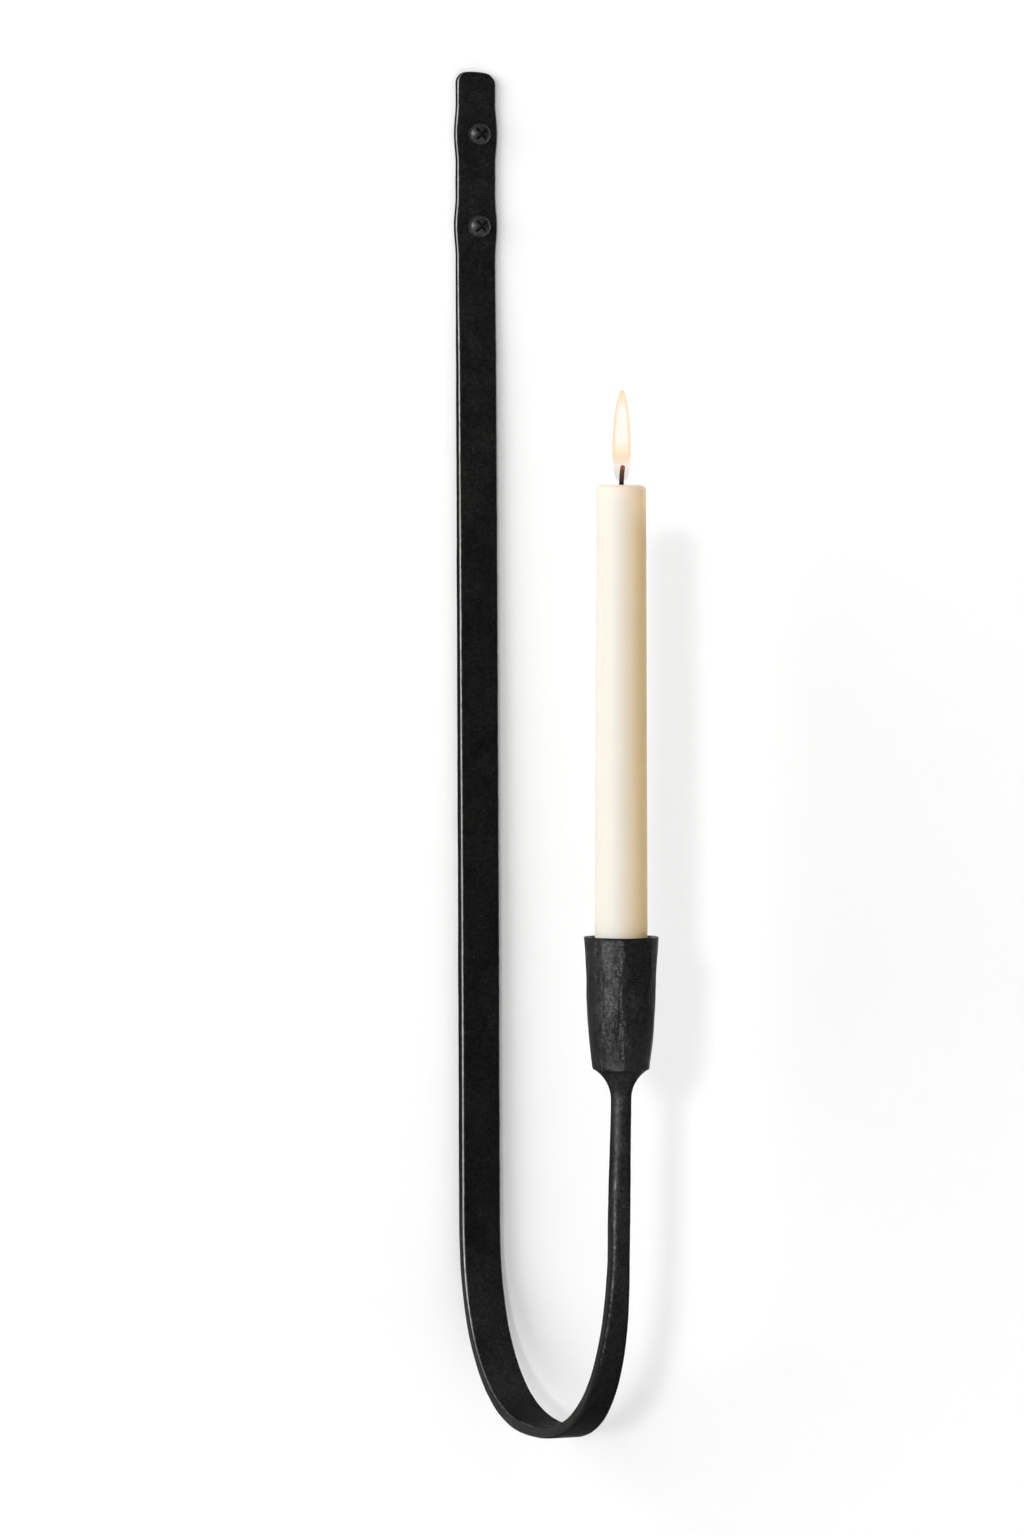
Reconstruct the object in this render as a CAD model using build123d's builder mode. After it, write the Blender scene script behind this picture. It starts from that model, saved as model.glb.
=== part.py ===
from build123d import *

import math
import os

# Taper candle wall sconce. One forged bar hangs flat on the wall by two screws, runs down,
# turns forward in a narrow loop and rises as a slim stem that carries a cup and a taper candle.
#
# Millimetres, +Z up. The wall is the plane Y = 0 and the room is on its -Y side. The origin
# lies on the wall, midway between the two screws, and X runs across the strap.

# Bar: the flat pad against the wall
strap_width = 18.5
pad_thickness = 3.2
pad_above_origin = 48.2
pad_below_origin = 38.0
pad_left_corner_radius = 4.6
pad_right_corner_radius = 4.9
pad_crown_offset = -2.1
pad_crown_left_fall = 0.5
edge_radius = 0.9

# Bar: the gentle swelling beside each screw hole, where the punch spread the metal
swell_rise = 0.85
swell_half_length = 11.5
swell_blend_radius = 40.0

# Bar: the strap leans a little off the wall on its way down and grows thicker
strap_start_thickness = 3.8
bend_thickness = 5.4
bend_edge_radius = 1.2
strap_lean = 3.5
full_thickness_depth = 340.0

# Bar: the loop, in the plane square to the wall
loop_back_spring_height = -458.3
loop_front_spring_height = -452.8
loop_bottom_height = -547.1
loop_bottom_forward = 83.2
loop_back_fullness = 2.32
loop_front_fullness = 2.45
loop_quarter_steps = 8

# Bar: the front half is drawn down from the flat strap to a slim, nearly round stem
draw_start = -18.0
draw_end = 125.5
thicken_start = 28.0
thicken_end = 136.0
stem_width = 8.85
stem_depth = 8.3
stem_corner_radius = 2.6
stem_end_diameter = 8.9
stem_lean = 2.3

# Bar: the flared seat under the cup, and the tenon peened over inside it
seat_diameter = 23.6
neck_flare_radius = 14.7
seat_height = -384.2
tenon_diameter = 7.0
tenon_head_diameter = 11.0
tenon_head_height = 2.0

# Reach of the candle from the wall
candle_reach = 162.0

# Screws
screw_spacing = 40.8
screw_hole_offset = 0.9
screw_hole_diameter = 5.6
screw_shank_diameter = 4.0
screw_thread_diameter = 4.8
screw_head_diameter = 10.2
screw_head_height = 4.2
screw_head_land = 0.7
screw_length = 34.0
screw_shank_past_wall = 1.0
screw_point_length = 6.0
recess_span = 6.6
recess_slot = 1.15
recess_depth = 2.9
recess_turn = 41.0

# Cup
cup_rim_diameter = 32.3
cup_height = 56.6
cup_wall_diameter = 31.0
cup_lip_flare_length = 10.0
cup_shoulder_diameter = 28.8
cup_shoulder_height = 20.5
cup_heel_diameter = 25.3
cup_heel_height = 2.7
cup_heel_radius = 2.5
cup_base_diameter = 23.9
cup_floor = 4.0
cup_mouth_diameter = 25.2
cup_bore_foot_diameter = 20.6
cup_lip_radius = 0.9
tenon_clearance = 0.15

# Candle
candle_top_diameter = 21.0
candle_base_diameter = 22.7
candle_above_rim = 191.7
candle_below_rim = 38.0
candle_shoulder_radius = 2.4
candle_foot_chamfer = 1.0
candle_clearance = 0.2
melt_pool_diameter = 15.0
melt_pool_depth = 1.2

# Wick
wick_diameter = 2.1
wick_clearance = 0.05
wick_above_candle = 8.4
wick_straight_above_pool = 1.4
wick_bend_angle = 10.0

# Sizes that follow from the ones above
cup_rim_height = seat_height + cup_height
pad_bottom = -pad_below_origin
loop_back_run = loop_bottom_forward - strap_lean - bend_thickness / 2
stem_spring_forward = candle_reach - stem_lean
loop_front_run = stem_spring_forward - loop_bottom_forward
candle_top_height = cup_rim_height + candle_above_rim
candle_foot_height = cup_rim_height - candle_below_rim
pool_bottom = candle_top_height - melt_pool_depth


def between(value, start, end, first, last):
    """Goes evenly from first at start to last at end, and holds outside."""
    share = min(max((value - start) / (end - start), 0.0), 1.0)
    return first + (last - first) * share


def dome_radius(half_width, rise):
    """Radius of the ball that a dome of this half width and rise is cut from."""
    return (half_width**2 + rise**2) / (2 * rise)


def strap_thickness(height):
    """Thickness of the strap on its straight run down the wall."""
    return between(
        -height, pad_below_origin, full_thickness_depth, strap_start_thickness, bend_thickness
    )


def strap_middle(height):
    """How far the middle of the strap stands off the wall."""
    off_wall = between(-height, pad_below_origin, -loop_back_spring_height, 0.0, strap_lean)
    return off_wall + strap_thickness(height) / 2


def loop_point(turn):
    """Middle of the bar in the loop: 0 is the back spring, 90 the bottom, 180 the front spring."""
    angle = math.radians(turn)
    if turn <= 90:
        run, spring, fullness = -loop_back_run, loop_back_spring_height, loop_back_fullness
    else:
        run, spring, fullness = loop_front_run, loop_front_spring_height, loop_front_fullness
    forward = loop_bottom_forward + run * abs(math.cos(angle)) ** (2 / fullness)
    height = spring - (spring - loop_bottom_height) * abs(math.sin(angle)) ** (2 / fullness)
    return Vector(0, -forward, height)


def bar_route():
    """Middle points of the bar from the foot of the pad, round the loop, to the neck."""
    route = [Vector(0, -pad_thickness / 2, pad_bottom)]
    run = pad_bottom - loop_back_spring_height
    for step in range(1, 9):
        height = pad_bottom - run * step / 9
        route.append(Vector(0, -strap_middle(height), height))
    route += [loop_point(90 * step / loop_quarter_steps) for step in range(2 * loop_quarter_steps)]
    stem_run = neck_height - loop_front_spring_height
    for step in range(5):
        share = step / 4
        forward = stem_spring_forward + stem_lean * share
        route.append(Vector(0, -forward, loop_front_spring_height + stem_run * share))
    return route


def run_lengths(route):
    """Length along the bar at each point, counted from the bottom of the loop."""
    lengths = [0.0]
    for start, end in zip(route, route[1:]):
        lengths.append(lengths[-1] + (end - start).length)
    bottom = min(range(len(route)), key=lambda index: route[index].Z)
    return [length - lengths[bottom] for length in lengths]


def bar_width(along):
    return between(along, draw_start, draw_end, strap_width, stem_width)


def bar_thickness(along, height):
    if along < thicken_start:
        return strap_thickness(height)
    return between(along, thicken_start, thicken_end, bend_thickness, stem_depth)


def bar_corner(along, height):
    """Rounding of the long edges, which grows from the pad to the loop and on to the stem."""
    if along < 0:
        return between(-height, pad_below_origin, -loop_back_spring_height, edge_radius, bend_edge_radius)
    return between(along, 0.0, draw_end, bend_edge_radius, stem_corner_radius)


# Neck: its flare is one arc that leaves the stem upright and ends under the rim of the seat
neck_flare_angle = math.degrees(
    math.acos(1 - (seat_diameter - stem_end_diameter) / 2 / neck_flare_radius)
)
neck_length = neck_flare_radius * math.sin(math.radians(neck_flare_angle))
neck_height = seat_height - neck_length
tenon_top = seat_height + cup_floor
candle_axis = Axis((0, -candle_reach, 0), (0, 0, 1))
side_plane = Plane(origin=(0, -candle_reach, 0), x_dir=(1, 0, 0), z_dir=(0, -1, 0))

# Forged strap
bar_points = bar_route()
bar_lengths = run_lengths(bar_points)
last_point = len(bar_points) - 1

with BuildPart() as forged_strap:
    # Pad: its outline swells beside each hole and its top is a low crown that falls to one side
    with BuildSketch(Plane.XZ):
        half = strap_width / 2
        crown_share = (half - pad_crown_offset) / (half + pad_crown_offset)
        top_left = (-half, pad_above_origin - pad_crown_left_fall)
        top_right = (half, pad_above_origin - pad_crown_left_fall * crown_share**2)
        with BuildLine():
            for side, top_corner in ((-1, top_left), (1, top_right)):
                last_end = (side * half, pad_bottom)
                for hole in (-screw_spacing / 2, screw_spacing / 2):
                    swell_start = (side * half, hole - swell_half_length)
                    swell_end = (side * half, hole + swell_half_length)
                    Line(last_end, swell_start)
                    ThreePointArc(swell_start, (side * (half + swell_rise), hole), swell_end)
                    last_end = swell_end
                Line(last_end, top_corner)
            ThreePointArc(top_left, (pad_crown_offset, pad_above_origin), top_right)
            Line((-half, pad_bottom), (half, pad_bottom))
        make_face()
    extrude(amount=pad_thickness)
    pad_corners = forged_strap.edges().filter_by(Axis.Y).sort_by(Axis.Z)
    fillet(pad_corners[2:-2], swell_blend_radius)
    for side, radius in ((-1, pad_left_corner_radius), (1, pad_right_corner_radius)):
        corner_edges = forged_strap.edges().filter_by(Axis.Y).sort_by(Axis.Z)
        fillet([edge for edge in corner_edges if edge.center().X * side > 0][-1], radius)
    rim_of_pad = (
        forged_strap.faces().filter_by(Axis.Y).edges()
        .filter_by(lambda rim_edge: rim_edge.center().Z > pad_bottom + 0.1)
    )
    fillet(rim_of_pad, edge_radius)

    # Strap, loop and stem: one run of rounded sections
    for index, point in enumerate(bar_points):
        ahead = bar_points[min(index + 1, last_point)] - bar_points[max(index - 1, 0)]
        width = bar_width(bar_lengths[index])
        thickness = bar_thickness(bar_lengths[index], point.Z)
        corner = bar_corner(bar_lengths[index], point.Z)
        if index == 0:
            ahead = Vector(0, 0, -1)
            thickness = pad_thickness
        if index == last_point:
            ahead = Vector(0, 0, 1)
            width = stem_end_diameter
            thickness = stem_end_diameter
            corner = stem_end_diameter * 0.48
        with BuildSketch(Plane(origin=point, x_dir=(1, 0, 0), z_dir=ahead)):
            RectangleRounded(width, thickness, corner)
    loft()

    # Holes for the screws
    with BuildSketch(Plane.XZ):
        with Locations((screw_hole_offset, -screw_spacing / 2), (screw_hole_offset, screw_spacing / 2)):
            Circle(screw_hole_diameter / 2)
    extrude(amount=pad_thickness, mode=Mode.SUBTRACT)

    # Neck, seat, tenon and its peened head
    with BuildSketch(side_plane):
        with BuildLine():
            stem_radius = stem_end_diameter / 2
            seat_radius = seat_diameter / 2
            tenon_radius = tenon_diameter / 2
            head_radius = tenon_head_diameter / 2
            Line((0, neck_height), (stem_radius, neck_height))
            flare = JernArc((stem_radius, neck_height), (0, 1), neck_flare_radius, -neck_flare_angle)
            Line(flare @ 1, (tenon_radius, seat_height))
            Line((tenon_radius, seat_height), (tenon_radius, tenon_top))
            Line((tenon_radius, tenon_top), (head_radius, tenon_top))
            head_dome = dome_radius(head_radius, tenon_head_height)
            RadiusArc((head_radius, tenon_top), (0, tenon_top + tenon_head_height), -head_dome)
            Line((0, tenon_top + tenon_head_height), (0, neck_height))
        make_face()
    revolve(axis=candle_axis)

forged_strap.part.label = "forged_strap"

# Candle cup: a tapered, thick-walled cup with a rounded shoulder above its base
with BuildPart() as candle_cup:
    with BuildSketch(side_plane):
        with BuildLine():
            base_radius = cup_base_diameter / 2
            heel_radius = cup_heel_diameter / 2
            heel_height = seat_height + cup_heel_height
            shoulder_radius = cup_shoulder_diameter / 2
            shoulder_height = seat_height + cup_shoulder_height
            floor_height = seat_height + cup_floor
            rim_point = (cup_rim_diameter / 2, cup_rim_height)
            heel_point = (heel_radius, heel_height)
            Spline(
                rim_point,
                (cup_wall_diameter / 2, cup_rim_height - cup_lip_flare_length),
                (shoulder_radius, shoulder_height),
                heel_point,
            )
            Polyline(
                heel_point,
                (base_radius, seat_height),
                (0, seat_height),
                (0, floor_height),
                (cup_bore_foot_diameter / 2, floor_height),
                (cup_mouth_diameter / 2, cup_rim_height),
                rim_point,
            )
        make_face()
    revolve(axis=candle_axis)
    with Locations((0, -candle_reach, seat_height)):
        Cylinder(tenon_diameter / 2 + tenon_clearance, 3 * cup_floor, mode=Mode.SUBTRACT)
    heel_ring = candle_cup.edges().filter_by_position(Axis.Z, heel_height - 0.1, heel_height + 0.1)
    fillet(heel_ring, cup_heel_radius)
    rim_edges = candle_cup.edges().group_by(Axis.Z)[-1]
    fillet(rim_edges, cup_lip_radius)

candle_cup.part.label = "candle_cup"

# Candle: its foot is cut to the taper of the cup and its top has a shallow melt pool


def bore_radius(depth):
    """Radius of the cup's bore at a depth below the rim."""
    return between(depth, 0, cup_height - cup_floor, cup_mouth_diameter, cup_bore_foot_diameter) / 2


bore_slope = (cup_mouth_diameter - cup_bore_foot_diameter) / 2 / (cup_height - cup_floor)
foot_cone_depth = (bore_radius(0) - candle_clearance - candle_base_diameter / 2) / bore_slope

with BuildPart() as candle:
    with BuildSketch(side_plane):
        with BuildLine():
            foot_radius = bore_radius(candle_below_rim) - candle_clearance
            pool_radius = melt_pool_diameter / 2
            Polyline(
                (0, candle_foot_height),
                (foot_radius, candle_foot_height),
                (candle_base_diameter / 2, cup_rim_height - foot_cone_depth),
                (candle_top_diameter / 2, candle_top_height),
                (pool_radius, candle_top_height),
            )
            pool_dome = dome_radius(pool_radius, melt_pool_depth)
            RadiusArc((pool_radius, candle_top_height), (0, pool_bottom), pool_dome)
            Line((0, pool_bottom), (0, candle_foot_height))
        make_face()
    revolve(axis=candle_axis)
    fillet(candle.edges().filter_by_position(Axis.Z, candle_top_height - 0.1, candle_top_height + 0.1)
           .sort_by(SortBy.RADIUS)[-1], candle_shoulder_radius)
    chamfer(candle.edges().group_by(Axis.Z)[0], candle_foot_chamfer)
    with Locations((0, -candle_reach, candle_top_height - candle_above_rim / 2)):
        Cylinder(wick_diameter / 2 + wick_clearance, 2 * candle_above_rim, mode=Mode.SUBTRACT)

candle.part.label = "candle"

# Wick: a cord through the whole candle, with a short bent end above the melt pool
with BuildPart() as wick:
    with BuildLine() as wick_line:
        bend_start = pool_bottom + wick_straight_above_pool
        bend_rise = candle_top_height + wick_above_candle - bend_start
        bend_radius = bend_rise / math.sin(math.radians(wick_bend_angle))
        rise = Line((0, -candle_reach, candle_foot_height), (0, -candle_reach, bend_start))
        tip = Vector(
            bend_radius * (1 - math.cos(math.radians(wick_bend_angle))),
            -candle_reach,
            bend_start + bend_rise,
        )
        TangentArc((0, -candle_reach, bend_start), tip, tangent=(0, 0, 1))
    with BuildSketch(Plane(origin=rise @ 0, z_dir=(0, 0, 1))):
        Circle(wick_diameter / 2)
    sweep()
    fillet(wick.edges().group_by(Axis.Z)[-1], wick_diameter * 0.3)

wick.part.label = "wick"

# Cross recess of the screws, as the body that is cut away from the head
with BuildPart() as recess:
    with BuildSketch(Plane.XZ):
        Rectangle(recess_span, recess_slot, rotation=recess_turn)
        Rectangle(recess_span, recess_slot, rotation=recess_turn + 90)
    extrude(amount=recess_depth)

# Screws: a domed head on the face of the pad, a smooth shank through its hole, and the
# threaded length that runs into the wall
screws = {}
for name, height in (("upper_screw", screw_spacing / 2), ("lower_screw", -screw_spacing / 2)):
    with BuildPart() as wall_screw:
        with BuildSketch(Plane(origin=(screw_hole_offset, 0, height), z_dir=(0, 0, 1))):
            with BuildLine():
                head_radius = screw_head_diameter / 2
                shank_radius = screw_shank_diameter / 2
                thread_radius = screw_thread_diameter / 2
                face = -pad_thickness
                tip_place = face + screw_length
                Polyline(
                    (0, tip_place),
                    (thread_radius, tip_place - screw_point_length),
                    (thread_radius, screw_shank_past_wall),
                    (shank_radius, screw_shank_past_wall),
                    (shank_radius, face),
                    (head_radius, face),
                    (head_radius, face - screw_head_land),
                )
                EllipticalCenterArc(
                    (0, face - screw_head_land),
                    head_radius,
                    screw_head_height - screw_head_land,
                    start_angle=270,
                    arc_size=90,
                )
                Line((0, face - screw_head_height), (0, tip_place))
            make_face()
        revolve(axis=Axis((screw_hole_offset, 0, height), (0, 1, 0)))
        recess_floor = -pad_thickness - screw_head_height + recess_depth
        with Locations((screw_hole_offset, recess_floor, height)):
            add(recess.part, mode=Mode.SUBTRACT)
    wall_screw.part.label = name
    screws[name] = wall_screw.part

os.makedirs("parts", exist_ok=True)
for piece in (forged_strap.part, candle_cup.part, candle.part, wick.part, *screws.values()):
    export_step(piece, f"parts/{piece.label}.step")
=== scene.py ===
import math

import bmesh
import bpy
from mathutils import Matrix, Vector, noise


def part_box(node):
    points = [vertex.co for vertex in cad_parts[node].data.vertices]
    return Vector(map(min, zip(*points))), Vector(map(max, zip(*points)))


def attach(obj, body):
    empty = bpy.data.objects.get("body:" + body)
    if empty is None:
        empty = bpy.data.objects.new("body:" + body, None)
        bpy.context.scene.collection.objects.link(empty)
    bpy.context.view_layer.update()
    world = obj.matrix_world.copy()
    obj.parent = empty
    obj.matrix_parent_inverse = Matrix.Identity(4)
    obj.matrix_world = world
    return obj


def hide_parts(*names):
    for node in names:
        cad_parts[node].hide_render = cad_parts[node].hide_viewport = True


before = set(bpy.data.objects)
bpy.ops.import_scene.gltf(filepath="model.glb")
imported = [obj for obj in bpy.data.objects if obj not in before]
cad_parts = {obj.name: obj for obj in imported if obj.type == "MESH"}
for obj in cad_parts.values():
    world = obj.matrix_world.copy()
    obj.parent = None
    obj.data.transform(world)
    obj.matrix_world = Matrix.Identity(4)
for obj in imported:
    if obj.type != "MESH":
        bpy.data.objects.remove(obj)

bl_info = {
    "name": "Taper candle wall sconce",
    "version": (1, 0, 0),
    "blender": (4, 5, 0),
    "location": "3D View > Sidebar > Sconce",
    "description": "Builds a forged wall sconce with its cup, screws, candle and flame",
    "category": "Add Mesh",
}

# Metres, +Z up, the wall is Y = 0 and the room is on its -Y side.
LENGTHS = {"unit": "LENGTH", "precision": 5}
TURNS = {"unit": "ROTATION", "precision": 3}

# Names of the two values that each point of a mesh carries: how far its edge is rubbed and how far
# the bar is drawn down there.
WEAR = "wear"
DRAWN = "drawn"


def length(name, default, description):
    """A setting in metres."""
    return bpy.props.FloatProperty(name=name, default=default, description=description, **LENGTHS)


def turn(name, degrees, description):
    """A setting in degrees, kept in radians."""
    return bpy.props.FloatProperty(
        name=name, default=math.radians(degrees), description=description, **TURNS
    )


def amount(name, default, description):
    """A setting that is a share or a level."""
    return bpy.props.FloatProperty(
        name=name, default=default, description=description, subtype="FACTOR", precision=3
    )


def number(name, default, description):
    """A plain number."""
    return bpy.props.FloatProperty(name=name, default=default, description=description, precision=3)


def colour(name, default, description):
    """A colour in linear light."""
    return bpy.props.FloatVectorProperty(
        name=name, default=default, description=description, subtype="COLOR", size=3, min=0, max=1
    )


# Sizes and colours


class BarSizes(bpy.types.PropertyGroup):
    """The forged bar: pad, strap, loop, stem, neck and seat."""

    strap_width: length("Strap width", 0.0185, "Width across the strap and the pad")
    pad_thickness: length("Pad thickness", 0.0032, "Thickness of the pad on the wall")
    pad_top: length("Pad top", 0.0482, "Height of the pad's top above the origin")
    pad_bottom: length("Pad bottom", -0.038, "Height where the pad becomes the strap")
    pad_left_corner: length("Left top corner", 0.0046, "Radius of the pad's left top corner")
    pad_right_corner: length("Right top corner", 0.0049, "Radius of the pad's right top corner")
    crown_offset: length("Crown offset", -0.0021, "Where the pad's crowned top is highest")
    crown_left_fall: length("Crown left fall", 0.0005, "How far the crown falls at the left side")
    edge_radius: length("Edge radius", 0.0009, "Rounding of the pad's long edges")
    bend_edge_radius: length("Bend edge radius", 0.0012, "Rounding of the long edges at the loop")
    swell_rise: length("Swell rise", 0.00085, "How far the pad swells beside each hole")
    swell_half_length: length("Swell half length", 0.0135, "Half the length of a swelling")
    strap_start: length("Strap start", 0.0038, "Thickness of the strap right under the pad")
    bend_thickness: length("Bend thickness", 0.0054, "Thickness of the strap at the loop")
    full_depth: length("Full thickness depth", 0.34, "Depth where the strap is at full thickness")
    strap_lean: length("Strap lean", 0.0035, "How far the strap's back stands off the wall at the loop")
    back_spring: length("Back spring", -0.4583, "Height where the strap starts to turn forward")
    front_spring: length("Front spring", -0.4528, "Height where the loop becomes the stem")
    loop_bottom: length("Loop bottom", -0.5471, "Height of the bar's middle at the loop's bottom")
    loop_forward: length("Loop bottom reach", 0.0832, "How far the loop's bottom is from the wall")
    back_fullness: number("Back fullness", 2.32, "Fullness of the loop's back half, 2 is an ellipse")
    front_fullness: number("Front fullness", 2.45, "Fullness of the loop's front half")
    draw_start: length("Draw start", -0.018, "Where the narrowing starts, from the loop's bottom")
    draw_end: length("Draw end", 0.1255, "Where the narrowing ends, from the loop's bottom")
    thicken_start: length("Thicken start", 0.028, "Where the thickening starts")
    thicken_end: length("Thicken end", 0.136, "Where the thickening ends")
    stem_width: length("Stem width", 0.00885, "Width across the stem")
    stem_depth: length("Stem depth", 0.0083, "Depth of the stem, front to back")
    stem_corner: length("Stem corner", 0.0026, "Rounding of the stem's corners")
    stem_end: length("Stem end", 0.0089, "Diameter of the stem under its neck")
    stem_lean: length("Stem lean", 0.0023, "How far the stem leans forward on its way up")
    reach: length("Reach", 0.162, "Distance of the candle's axis from the wall")
    seat_height: length("Seat height", -0.3842, "Height of the seat's top")
    seat_diameter: length("Seat diameter", 0.0236, "Diameter of the seat under the cup")
    neck_radius: length("Neck flare radius", 0.0147, "Radius of the neck's flare")
    tenon_diameter: length("Tenon diameter", 0.007, "Diameter of the tenon in the cup's floor")
    tenon_rise: length("Tenon rise", 0.004, "Height of the tenon above the seat")
    tenon_head_diameter: length("Tenon head", 0.011, "Diameter of the peened head")
    tenon_head_rise: length("Tenon head rise", 0.002, "Height of the peened head")
    ring_spacing: length("Ring spacing", 0.001, "Distance between the mesh's rings")
    dent_depth: length("Dent depth", 0.00012, "Depth of the hammer's dents on the bar")
    dent_size: length("Dent size", 0.009, "Size of the hammer's dents on the bar")
    arris_dent: length("Arris dent", 0.0003, "How deep the long edges are knocked in places")
    hole_diameter: length("Hole diameter", 0.0056, "Diameter of the screw holes")


class CupSizes(bpy.types.PropertyGroup):
    """The candle cup."""

    rim_diameter: length("Rim diameter", 0.0323, "Outer diameter at the rim")
    height: length("Height", 0.0566, "Height of the cup")
    wall_diameter: length("Wall diameter", 0.031, "Outer diameter under the flared lip")
    lip_length: length("Lip length", 0.01, "Length of the flare under the rim")
    shoulder_diameter: length("Shoulder diameter", 0.0288, "Outer diameter at the shoulder")
    shoulder_height: length("Shoulder height", 0.0205, "Height of the shoulder above the seat")
    heel_diameter: length("Heel diameter", 0.0253, "Outer diameter at the heel")
    heel_height: length("Heel height", 0.0027, "Height of the heel above the seat")
    base_diameter: length("Base diameter", 0.0239, "Diameter of the cup's flat base")
    floor: length("Floor", 0.004, "Thickness of the cup's floor")
    mouth_diameter: length("Mouth diameter", 0.0252, "Diameter of the bore at the rim")
    foot_diameter: length("Bore foot diameter", 0.0206, "Diameter of the bore at the floor")
    lip_radius: length("Lip radius", 0.0009, "Rounding of the rim")
    hole_diameter: length("Hole diameter", 0.0073, "Diameter of the hole for the tenon")
    facet_width: length("Facet width", 0.0085, "Width of a hammered facet")
    facet_height: length("Facet height", 0.02, "Height of a hammered facet")
    facet_depth: length("Facet depth", 0.00034, "Depth of a hammered facet")


class ScrewSizes(bpy.types.PropertyGroup):
    """The two wall screws."""

    spacing: length("Spacing", 0.0408, "Distance between the screws")
    offset: length("Offset", 0.0009, "How far the screws stand right of the strap's middle")
    head_diameter: length("Head diameter", 0.0102, "Diameter of the head")
    head_height: length("Head height", 0.0042, "Height of the head")
    head_land: length("Head land", 0.0007, "Height of the head's upright rim")
    dome_fullness: number("Dome fullness", 2.5, "Fullness of the head's dome, 2 is an ellipse")
    shank_diameter: length("Shank diameter", 0.004, "Diameter of the smooth shank")
    thread_diameter: length("Thread diameter", 0.0048, "Outer diameter of the thread")
    root_diameter: length("Root diameter", 0.0033, "Inner diameter of the thread")
    screw_length: length("Length", 0.034, "Length under the head")
    shank_past_wall: length("Shank past the wall", 0.001, "Where the thread begins")
    point_length: length("Point length", 0.006, "Length of the point")
    pitch: length("Pitch", 0.0022, "Rise of the thread in one turn")
    recess_span: length("Recess span", 0.007, "Span of the cross recess")
    recess_slot: length("Recess slot", 0.0012, "Width of a slot of the cross recess")
    recess_depth: length("Recess depth", 0.0029, "Depth of the cross recess")
    recess_turn: turn("Recess turn", 41, "Turn of the cross recess")


class IronLook(bpy.types.PropertyGroup):
    """Black forged iron: its colours and the marks of the hammer."""

    black: colour("Black", (0.0188, 0.019, 0.0192), "Colour of the iron")
    blotch: colour("Blotch", (0.0268, 0.0264, 0.0257), "Colour of its paler blotches")
    drawn_black: colour("Drawn black", (0.036, 0.0367, 0.0375), "Colour of the drawn iron")
    drawn_blotch: colour("Drawn blotch", (0.056, 0.0559, 0.0556), "Its paler blotches")
    soot: colour("Soot", (0.0085, 0.0082, 0.0078), "Colour of the dull iron of the loop")
    worn: colour("Worn", (0.135, 0.134, 0.131), "Colour where the edges are rubbed")
    foot_tone: amount("Foot tone", 0.65, "How dark the iron is at the loop, beside the pad")
    tone_top: length("Tone top", 0.0, "Height where the iron starts to darken")
    tone_foot: length("Tone foot", -0.3, "Height where it is darkest")
    # Painted light: the strap's colour is made brighter where it turns into the loop, standing in for
    # light from above on its inner face.
    loop_painted_light: number("Loop tone", 2.1, "Brightness of the strap where it turns into the loop")
    loop_top: length("Top of the dull part", -0.43, "Height where the loop's dull iron ends")
    loop_fade: length("Fade of the dull part", 0.06, "Height over which it fades in")
    stroke_spacing: length("Stroke spacing", 0.0006, "Distance between the fine hammer strokes")
    stroke_sway: length("Stroke sway", 0.0018, "How far the fine strokes swing up and down")
    # Heights, and distances from the wall, that bound that painted light.
    painted_light_top: length("Turning top", -0.46, "Height where the turning strap starts to brighten")
    painted_light_foot: length("Turning foot", -0.51, "Height where it is brightest")
    painted_light_front: length("Turning front", -0.125, "Where that brightness ends, forward of the wall")
    painted_light_back: length("Turning back", -0.09, "Where it is full, nearer to the wall")
    dull_metal: amount("Dull metal", 0.3, "How metallic the loop's dull iron is")
    worn_metal: amount("Worn metal", 0.85, "How metallic the rubbed edges are")
    stroke_polish: amount("Stroke polish", 0.17, "How much smoother the struck patches are")
    worn_polish: amount("Worn polish", 0.08, "How much smoother the rubbed edges are")
    plain_polish: amount("Plain polish", 0.04, "How much smoother the iron is off its blotches")
    blotch_matt: amount("Blotch matt", 0.06, "How much rougher the blotches are")


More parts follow.
